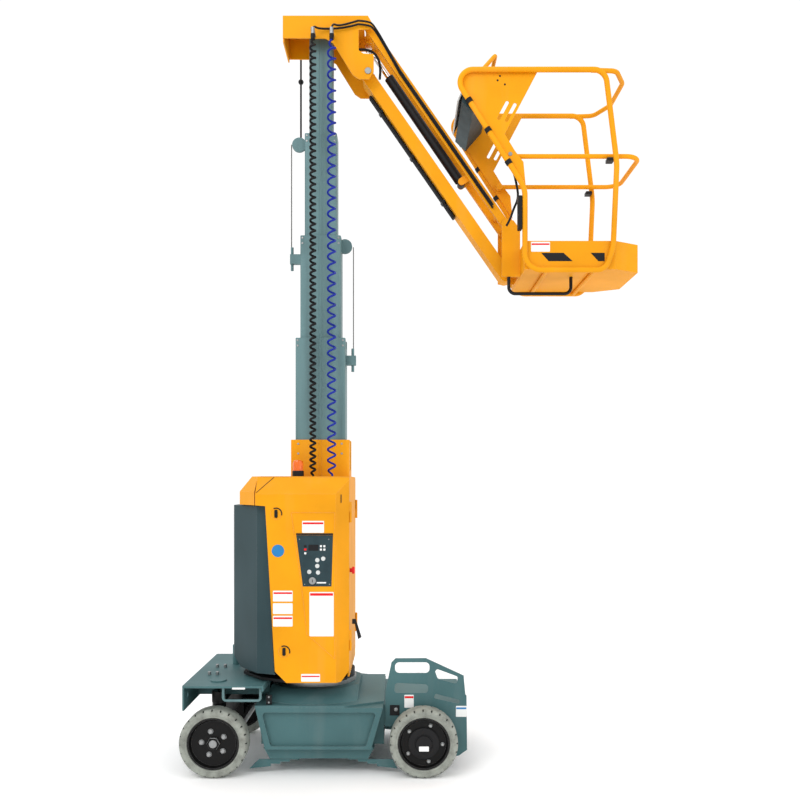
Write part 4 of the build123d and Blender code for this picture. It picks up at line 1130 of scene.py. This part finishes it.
@dataclass
class Cover:
    """Near and far covers: the pressed field's edge, latches and seams, and the controls on the near one."""

    y: float = 0.430
    panel_y: float = -0.428
    field_edge: Outline = (
        (-0.112, 1.510), (0.138, 1.510), (0.138, 0.670), (-0.022, 0.812), (-0.052, 1.085), (-0.112, 1.510),
    )
    bead: float = 0.0028
    latches: Outline = ((-0.199, 1.503), (-0.153, 0.710))
    latch_size: Place = (0.018, 0.046, 0.008)
    rim_radius: float = 0.032
    rim_wire: float = 0.0022
    # The black arc in each latch's recess is painted shade.
    painted_shade_radius: float = 0.033
    painted_shade_wire: float = 0.0034
    painted_shade_span_deg: tuple[float, float] = (-15.0, 115.0)
    seam: tuple[Place, Place] = ((-0.225, -0.337, 1.7135), (-0.314, -0.423, 1.6245))
    seam_wire: float = 0.002
    # A black slab on the front facet is painted shade inside a slot.
    slot_shade_size: Place = (0.006, 0.048, 0.001)
    slot_shade_place: Place = (0.1735, -0.4025, 1.590)
    slot_shade_way: Place = (1.0, -1.0, 0.0)

    def build(self) -> None:
        """Make both covers' fittings and the controls."""
        for side, way in (("near", Way.NEAR), ("far", Way.FAR)):
            y = self.y * way.value[1]
            edge = np.array([(x, y, z) for x, z in self.field_edge])
            bead = Shape.empty()
            for start, end in zip(edge, edge[1:]):
                bead = bead + Shape.tube(np.linspace(start, end, 3), self.bead, 10)
            piece(f"field_bead_{side}", bead, YELLOW, f"cover_{side}")
            for k, (x, z) in enumerate(self.latches):
                self.latch(side, k, way, (x, y, z))
        seam = Shape.tube(np.linspace(*self.seam, 3), self.seam_wire, 8)
        piece("roof_seam", seam, BLACK, "turret")
        # Black slab: painted shade inside the facet's slot.
        slot = slab(*self.slot_shade_size).facing(np.array(self.slot_shade_way)).at(*self.slot_shade_place)
        piece("facet_slot", slot, BLACK, "cover_near")
        self.controls()

    def latch(self, side: str, number: int, way: Way, place: Place) -> None:
        """Make one latch: a rim, a black arc of painted shade in its recess, and the handle.

        Args:
            side: near or far.
            number: number of the latch on its cover.
            way: direction that it faces.
            place: its middle on the cover's face.
        """
        rim = Shape.tube(ring_path(self.rim_radius), self.rim_wire, 8, Way.UP.value)
        rim = rim.facing(way.vector).at(*place)
        piece(f"latch_rim_{side}_{number}", rim, YELLOW, f"cover_{side}")
        # A black tube along part of the rim: painted shade in the recess.
        bend = np.radians(np.linspace(*self.painted_shade_span_deg, 15))
        arc = np.column_stack([self.painted_shade_radius * np.cos(bend), self.painted_shade_radius * np.sin(bend),
                               np.full(len(bend), 0.0005)])
        shade = Shape.tube(arc, self.painted_shade_wire, 8, Way.UP.value)
        piece(f"latch_shade_{side}_{number}", shade.facing(way.vector).at(*place), BLACK, f"cover_{side}")
        handle = slab(*self.latch_size, 0.006)
        piece(f"latch_{side}_{number}", handle.facing(way.vector).at(*place), BLACK, f"cover_{side}")

    def controls(self) -> None:
        """Make the controls on the panel's face, and the black strip of painted shade at the top of the
        panel's recess, on the cover's face.
        """
        for name, finish, shape, spots in (
            ("panel_screws", STEEL, drum(0.0035, 0.002),
             ((-0.0646, 1.357), (0.1042, 1.357), (-0.0351, 1.0975), (0.1084, 1.0975))),
            ("panel_display", BLACK, slab(0.057, 0.034, 0.002), ((0.016, 1.308),)),
            ("white_keys", LABEL, slab(0.012, 0.012, 0.003),
             ((0.0594, 1.3166), (0.0789, 1.3166), (0.0594, 1.2973), (0.0789, 1.2973), (-0.031, 1.276))),
            ("red_key", RED, slab(0.014, 0.012, 0.003), ((-0.031, 1.298),)),
            ("black_key", BLACK, slab(0.014, 0.012, 0.003), ((-0.031, 1.317),)),
            ("round_marks", GLAND, drum(0.0125, 0.0015),
             ((0.0383, 1.2365), (0.0721, 1.245), (0.0383, 1.203), (0.0425, 1.165), (-0.008, 1.169))),
            ("key_switch", STEEL, drum(0.021, 0.010, 0.002, 36), ((0.0105, 1.118),)),
            # Black bar: painted shade in the key switch's keyway.
            ("key_slot", BLACK, slab(0.004, 0.018, 0.0115), ((0.0105, 1.118),)),
            ("panel_strip", LABEL, slab(0.055, 0.008, 0.0008), ((0.0615, 1.1065),)),
            # Black strip: painted shade at the top of the panel's recess.
            ("panel_top_strip", BLACK, slab(0.212, 0.010, 0.004), ((0.023, 1.386),)),
        ):
            base = -self.y if name == "panel_top_strip" else self.panel_y
            places = tuple((x, base, z) for x, z in spots)
            Fitting(name, "cover_near", finish, shape, Way.NEAR, places).build()


@dataclass
class MastFittings:
    """Bolts near the top of each section, pins of the arms, and link chains.

    A row of sections is its body, width, depth and top, then the drops of its two rows of bolts below the top
    and their inset from its edge. A row of chains is its node, its two bodies, its X and its two ends.
    """

    middle: float = 0.025
    sections: tuple[tuple[str, float, float, float, tuple[float, float], float], ...] = (
        ("turret", 0.358, 0.240, 1.946, (0.025, 0.085), 0.046),
        ("mast_1", 0.305, 0.210, 2.572, (0.015, 0.048), 0.014),
        ("mast_2", 0.250, 0.180, 3.204, (0.015, 0.048), 0.014),
        ("mast_3", 0.199, 0.150, 3.839, (0.015, 0.048), 0.014),
    )
    arm_pin: tuple[float, float] = (0.319, 4.194)
    arm_pin_y: float = 0.134
    boots: tuple[Place, ...] = ((-0.011, -0.200, 4.350), (0.102, -0.200, 4.350))
    chains: tuple[tuple[str, str, str, float, float, float], ...] = (
        ("chain_right", "mast_1", "mast_2", 0.223, 2.5213, 3.1590),
        ("chain_left", "mast_2", "mast_3", -0.164, 3.1533, 3.7940),
    )
    pitch: float = 0.008
    link_size: tuple[float, float, float, int] = (0.006, 0.012, 0.0029, 4)
    link_thickness: float = 0.003
    even_rows: tuple[float, float] = (-0.001, 0.007)
    odd_rows: tuple[float, float] = (-0.005, 0.003)
    pin: Outline = ((0.0018, 0.0), (0.0018, 0.016))
    pin_y: float = 0.008

    def build(self) -> None:
        """Make the bolts, pin heads, cord boots and chains."""
        for body, width, depth, top, drops, inset in self.sections:
            for way in (Way.NEAR, Way.FAR):
                places = tuple((self.middle + k * (width / 2 - inset), way.value[1] * depth / 2, top - drop)
                               for k in (-1, 1) for drop in drops)
                name = f"face_bolts_{body}_{way.name.lower()}"
                Fitting(name, body, STEEL, drum(0.0065, 0.003), way, places).build()
        for row in self.chains:
            self.chain(*row)
        x, z = self.arm_pin
        for way in (Way.NEAR, Way.FAR):
            Fitting(f"pin_heads_{way.name.lower()}", "mast_4", STEEL, drum(0.020, 0.007, 0.002, 32), way,
                    ((x, way.value[1] * self.arm_pin_y, z),)).build()
        Fitting("cord_boots", "mast_4", BLACK_RUBBER, drum(0.0136, 0.036, 0.003), Way.UP, self.boots).build()

    def chain(self, name: str, low: str, high: str, x: float, z0: float, z1: float) -> None:
        """Make one leaf chain: link i at height z0 + (i + 1/2) pitch, its plates beside those of link i + 1.

        Args:
            name: the node that the links replace.
            low: body of its lower end; not used.
            high: body of its upper end; not used.
            x: its place along the chassis.
            z0: height of its lower end.
            z1: height of its upper end.
        """
        count = int((z1 - z0) / self.pitch)
        z = z0 + (np.arange(count) + 0.5) * self.pitch
        link = Shape.plate(rounded_outline(*self.link_size), self.link_thickness).facing(Way.NEAR.vector)
        places = [(x, y, h) for i, h in enumerate(z) for y in (self.odd_rows if i % 2 else self.even_rows)]
        pin = Shape.turned(self.pin, 8).facing(Way.NEAR.vector)
        pins = pin.repeated([(x, self.pin_y, h + self.pitch / 2) for h in z[:-1]])
        made = piece(f"{name}_links", link.repeated(places) + pins, CHAIN, None)
        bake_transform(made)
        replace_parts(made, name)


@dataclass
class Leads:
    """Hoses and leads that cross from the head to the arms or lie on the arms, and the basket's hose.

    A row of cord_tops is a curly cord's X, its lead's lift and its lead's Y. head_loop and basket_drop are
    given control points.
    """

    radius: float = 0.0060
    cord_tops: tuple[Place, ...] = ((-0.011, 0.0, -0.150), (0.102, 0.014, -0.164))
    cord_y: float = -0.200
    arm_y: float = -0.105
    arm_spacing: float = 0.014
    arm_reach: tuple[float, ...] = (0.0, 0.25, 0.55, 0.85, 1.0)
    pivot: Place = (0.319, 0.0, 4.194)
    along: Place = (0.5693, 0.0, -0.8222)
    across: Place = (0.8222, 0.0, 0.5693)
    head_loop: tuple[Place, ...] = (
        (0.245, -0.112, 4.335), (0.300, -0.085, 4.352), (0.362, -0.050, 4.345), (0.398, -0.036, 4.270),
        (0.388, -0.034, 4.190),
    )
    head_loop_radius: float = 0.008
    basket_drop: tuple[Place, ...] = (
        (1.187, -0.285, 3.522), (1.215, -0.270, 3.423), (1.215, -0.262, 3.363), (1.190, -0.262, 3.314),
        (1.168, -0.262, 3.245), (1.147, -0.262, 3.210),
    )
    basket_drop_radius: float = 0.007
    hose: float = 0.009
    hose_rows: tuple[float, ...] = (-0.018, 0.0, 0.018)
    hose_ends: tuple[float, float] = (0.09, 1.01)
    hose_below: float = 0.0515
    clip_size: Place = (0.020, 0.062, 0.003)
    clip_length: float = 0.024
    clip_reach: tuple[float, ...] = (0.21, 0.55, 0.89)

    def free(self, name: str, points: tuple[Place, ...], radius: float, bodies: tuple[str, ...]) -> None:
        """Args:
            name: the lead's name.
            points: control points.
            radius: radius of the lead.
            bodies: one body, or the two that it joins.
        """
        line = route(points, name)
        tube = piece(name, spline_points(np.array(points), name, radius), BLACK_RUBBER,
                     bodies[0] if len(bodies) == 1 else None)
        if len(bodies) == 2:
            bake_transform(tube)

    def build(self) -> None:
        """Make the leads over the head, both single hoses and the clipped hoses under the lower arm."""
        for k, (x, lift, y) in enumerate(self.cord_tops):
            self.over_head(k, x, lift, y)
        self.free("head_hose", self.head_loop, self.head_loop_radius, ("mast_4", "lower_arm"))
        self.free("basket_hose", self.basket_drop, self.basket_drop_radius, ("basket",))
        run, up = np.array(self.along), np.array(self.across)
        base = np.array(self.pivot) - self.hose_below * up
        hoses = Shape.empty()
        for y in self.hose_rows:
            line = base + np.outer(np.linspace(*self.hose_ends, 5), run) + (0.0, y, 0.0)
            hoses = hoses + Shape.tube(line, self.hose, 14)
        piece("arm_hoses", hoses, BLACK_RUBBER, "lower_arm")
        clip = Shape.plate(rounded_outline(*self.clip_size), self.clip_length)
        clip = clip.at(0.0, 0.0, -self.clip_length / 2).facing(up, run)
        clips = clip.repeated(base + np.outer(self.clip_reach, run))
        piece("hose_clips", clips, BLACK, "lower_arm")

    def over_head(self, k: int, x: float, lift: float, y: float) -> None:
        """Make one lead from a curly cord's top over the head, over the pivot and down the upper arm.

        Args:
            k: number of the lead.
            x: place of its curly cord.
            lift: height over the lowest lead.
            y: place of its run on the head's side.
        """
        over = ((x, self.cord_y, 4.420), (x + 0.006, -0.196, 4.436 + lift), (x + 0.03, y, 4.440 + lift),
                (0.180, y, 4.445 + lift), (0.261, y, 4.470 + lift))
        turn = ((0.330, y, 4.465 + lift), (0.356, y, 4.440 + lift),
                (0.405, 0.5 * (y + self.arm_y), 4.375 + lift),
                (0.514, self.arm_y - self.arm_spacing * k, 4.190 + lift))
        self.free(f"head_lead_{k + 1}", over, self.radius, ("mast_4",))
        self.free(f"jib_lead_{k + 1}", (over[-1], *turn), self.radius, ("mast_4", "upper_arm"))
        rest = Shape.tube(np.array(turn[-1]) + np.outer(self.arm_reach, self.along), self.radius, 12)
        piece(f"arm_lead_{k + 1}", rest, BLACK_RUBBER, "upper_arm")


@dataclass
class BasketFittings:
    """Marks, rests, clamps and boxes of the basket. Outlines and clamps are given as X and Z."""

    side: float = 0.3007
    toe_marks: tuple[Outline, ...] = (
        ((1.391, 2.990), (1.533, 2.990), (1.479, 3.039), (1.347, 3.039)),
        ((1.685, 2.990), (1.722, 2.990), (1.722, 3.039), (1.639, 3.039)),
    )
    frame_y: float = 0.317
    frame_way: Place = (-0.443, 0.0, 0.696)
    clamps: Outline = ((0.922, 3.930), (1.033, 3.757), (1.153, 3.567))
    clamp_half: float = 0.014
    clamp_radius: float = 0.0195
    rest: Place = (1.755, 0.2895, 3.578)
    gate_pin: Place = (1.165, -0.3007, 3.623)
    holes: tuple[Place, ...] = ((1.104, -0.3007, 4.083), (1.090, -0.3007, 4.057), (1.133, -0.3007, 4.033))
    post_box: Place = (1.2195, -0.290, 3.270)
    edge_size: tuple[float, float, float, float] = (0.500, 0.132, 0.010, 0.006)
    edge_way: Place = (-0.119, 0.0, 0.056)
    edge_place: Place = (0.892, 0.0, 4.0185)

    def build(self) -> None:
        """Make every fitting of the basket."""
        for k, outline in enumerate(self.toe_marks):
            mark = Shape.plate(np.array(outline), 0.0008).facing(Way.NEAR.vector).at(0.0, -self.side, 0.0)
            piece(f"toe_mark_{k}", mark, BLACK, "basket")
        half = self.clamp_half * np.array(self.frame_way) / np.linalg.norm(self.frame_way)
        for way in (Way.NEAR, Way.FAR):
            sign = way.value[1]
            rings = Shape.empty()
            for x, z in self.clamps:
                middle = np.array((x, sign * self.frame_y, z))
                ends = np.array([middle - half, middle, middle + half])
                rings = rings + Shape.tube(ends, self.clamp_radius, 24)
            piece(f"clamps_{way.name.lower()}", rings, BLACK, "basket")
            x, y, z = self.rest
            rest = slab(0.040, 0.055, 0.020, 0.004).at(x, sign * y, z)
            piece(f"gate_rest_{way.name.lower()}", rest, BLACK, "basket")
        for fitting in (
            Fitting("gate_washer", "basket", STEEL, drum(0.012, 0.003), Way.NEAR, (self.gate_pin,)),
            # Black discs: painted shade in holes of the side plate.
            Fitting("plate_holes", "basket", BLACK, drum(0.006, 0.0008, 0.0002), Way.NEAR, self.holes),
            Fitting("post_box", "basket", BLACK, slab(0.025, 0.200, 0.040, 0.005), Way.NEAR,
                    (self.post_box,)),
        ):
            fitting.build()
        lip = slab(*self.edge_size).facing(np.array(self.edge_way), Way.FAR.vector)
        piece("console_edge", lip.at(*self.edge_place), GLAND, "basket")


@dataclass
class Labels:
    """Blank films on the covers, the chassis and the basket.

    A row is the film's name, body, width, height, middle and the finish of the band along its upper edge.
    """

    thickness: float = 0.0006
    band_share: float = 0.94
    band_height_share: float = 0.16
    tallest: float = 0.09
    band_drop: float = 0.014
    rows: tuple[tuple[str, str, float, float, Place, Finish], ...] = (
        ("label_top", "cover_near", 0.126, 0.069, (0.014, -0.430, 1.428), RED),
        ("label_panel_side", "cover_near", 0.113, 0.062, (-0.160, -0.430, 1.030), RED),
        ("label_panel_middle", "cover_near", 0.113, 0.062, (-0.160, -0.430, 0.958), LABEL),
        ("label_panel_low", "cover_near", 0.113, 0.062, (-0.160, -0.430, 0.886), RED),
        ("label_notes", "cover_near", 0.140, 0.255, (0.063, -0.430, 0.926), RED),
        ("label_foot", "cover_near", 0.109, 0.044, (0.000, -0.430, 0.560), RED),
        ("label_guard_left", "chassis", 0.055, 0.076, (0.567, -0.338, 0.402), RED),
        ("label_guard_right", "chassis", 0.063, 0.064, (0.873, -0.338, 0.343), BLUE_LABEL),
        ("label_basket", "basket", 0.112, 0.058, (1.343, -0.3007, 3.075), RED),
    )
    disc_radius: float = 0.036
    disc_place: Place = (-0.188, -0.430, 1.290)

    def build(self) -> None:
        """Make each film with a coloured band along its upper edge, and the round mark."""
        for name, body, width, height, place, band in self.rows:
            film = Shape.plate(rounded_outline(width, height, 0.004), self.thickness).facing(Way.NEAR.vector)
            piece(name, film.at(*place), LABEL, body)
            if band is not LABEL:
                band_height = self.band_height_share * min(height, self.tallest)
                outline = rounded_outline(self.band_share * width, band_height, 0.002)
                strip = Shape.plate(outline, self.thickness).facing(Way.NEAR.vector)
                top = (place[0], place[1] - self.thickness, place[2] + 0.5 * height - self.band_drop)
                piece(f"{name}_band", strip.at(*top), band, body)
        disc = Shape.turned([(self.disc_radius, 0.0), (self.disc_radius, self.thickness)], 40)
        piece("label_round", disc.facing(Way.NEAR.vector).at(*self.disc_place), BLUE_LABEL, "cover_near")


def dress_nodes(frame: dict) -> None:
    """Give each node of the frame the finish of its material slot.
    """
    for name, node in frame["nodes"].items():
        node.data.materials.clear()
        node.data.materials.append(material_of(SLOT_FINISH[NODE_SLOTS[name]]))


def main() -> None:
    """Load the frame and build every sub-assembly."""
    logging.basicConfig(level=logging.INFO, format="%(message)s")
    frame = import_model()
    NODE_SLOTS.update({row["node"]: row["material_slot"] for row in frame["record"]["subparts"]})
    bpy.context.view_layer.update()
    Studio().build()
    CurlyCord("curly_cord_black", -0.011, 0.023, 0.0072, 0.040, BLACK_RUBBER, "black_rubber").build()
    CurlyCord("curly_cord_blue", 0.102, 0.030, 0.0065, 0.0645, BLUE_RUBBER, "blue_rubber").build()
    dress_nodes(frame)
    for assembly in (Wheels(), Deck(), Cover(), MastFittings(), Leads(), BasketFittings(), Labels()):
        assembly.build()


if __name__ == "__main__":
    main()
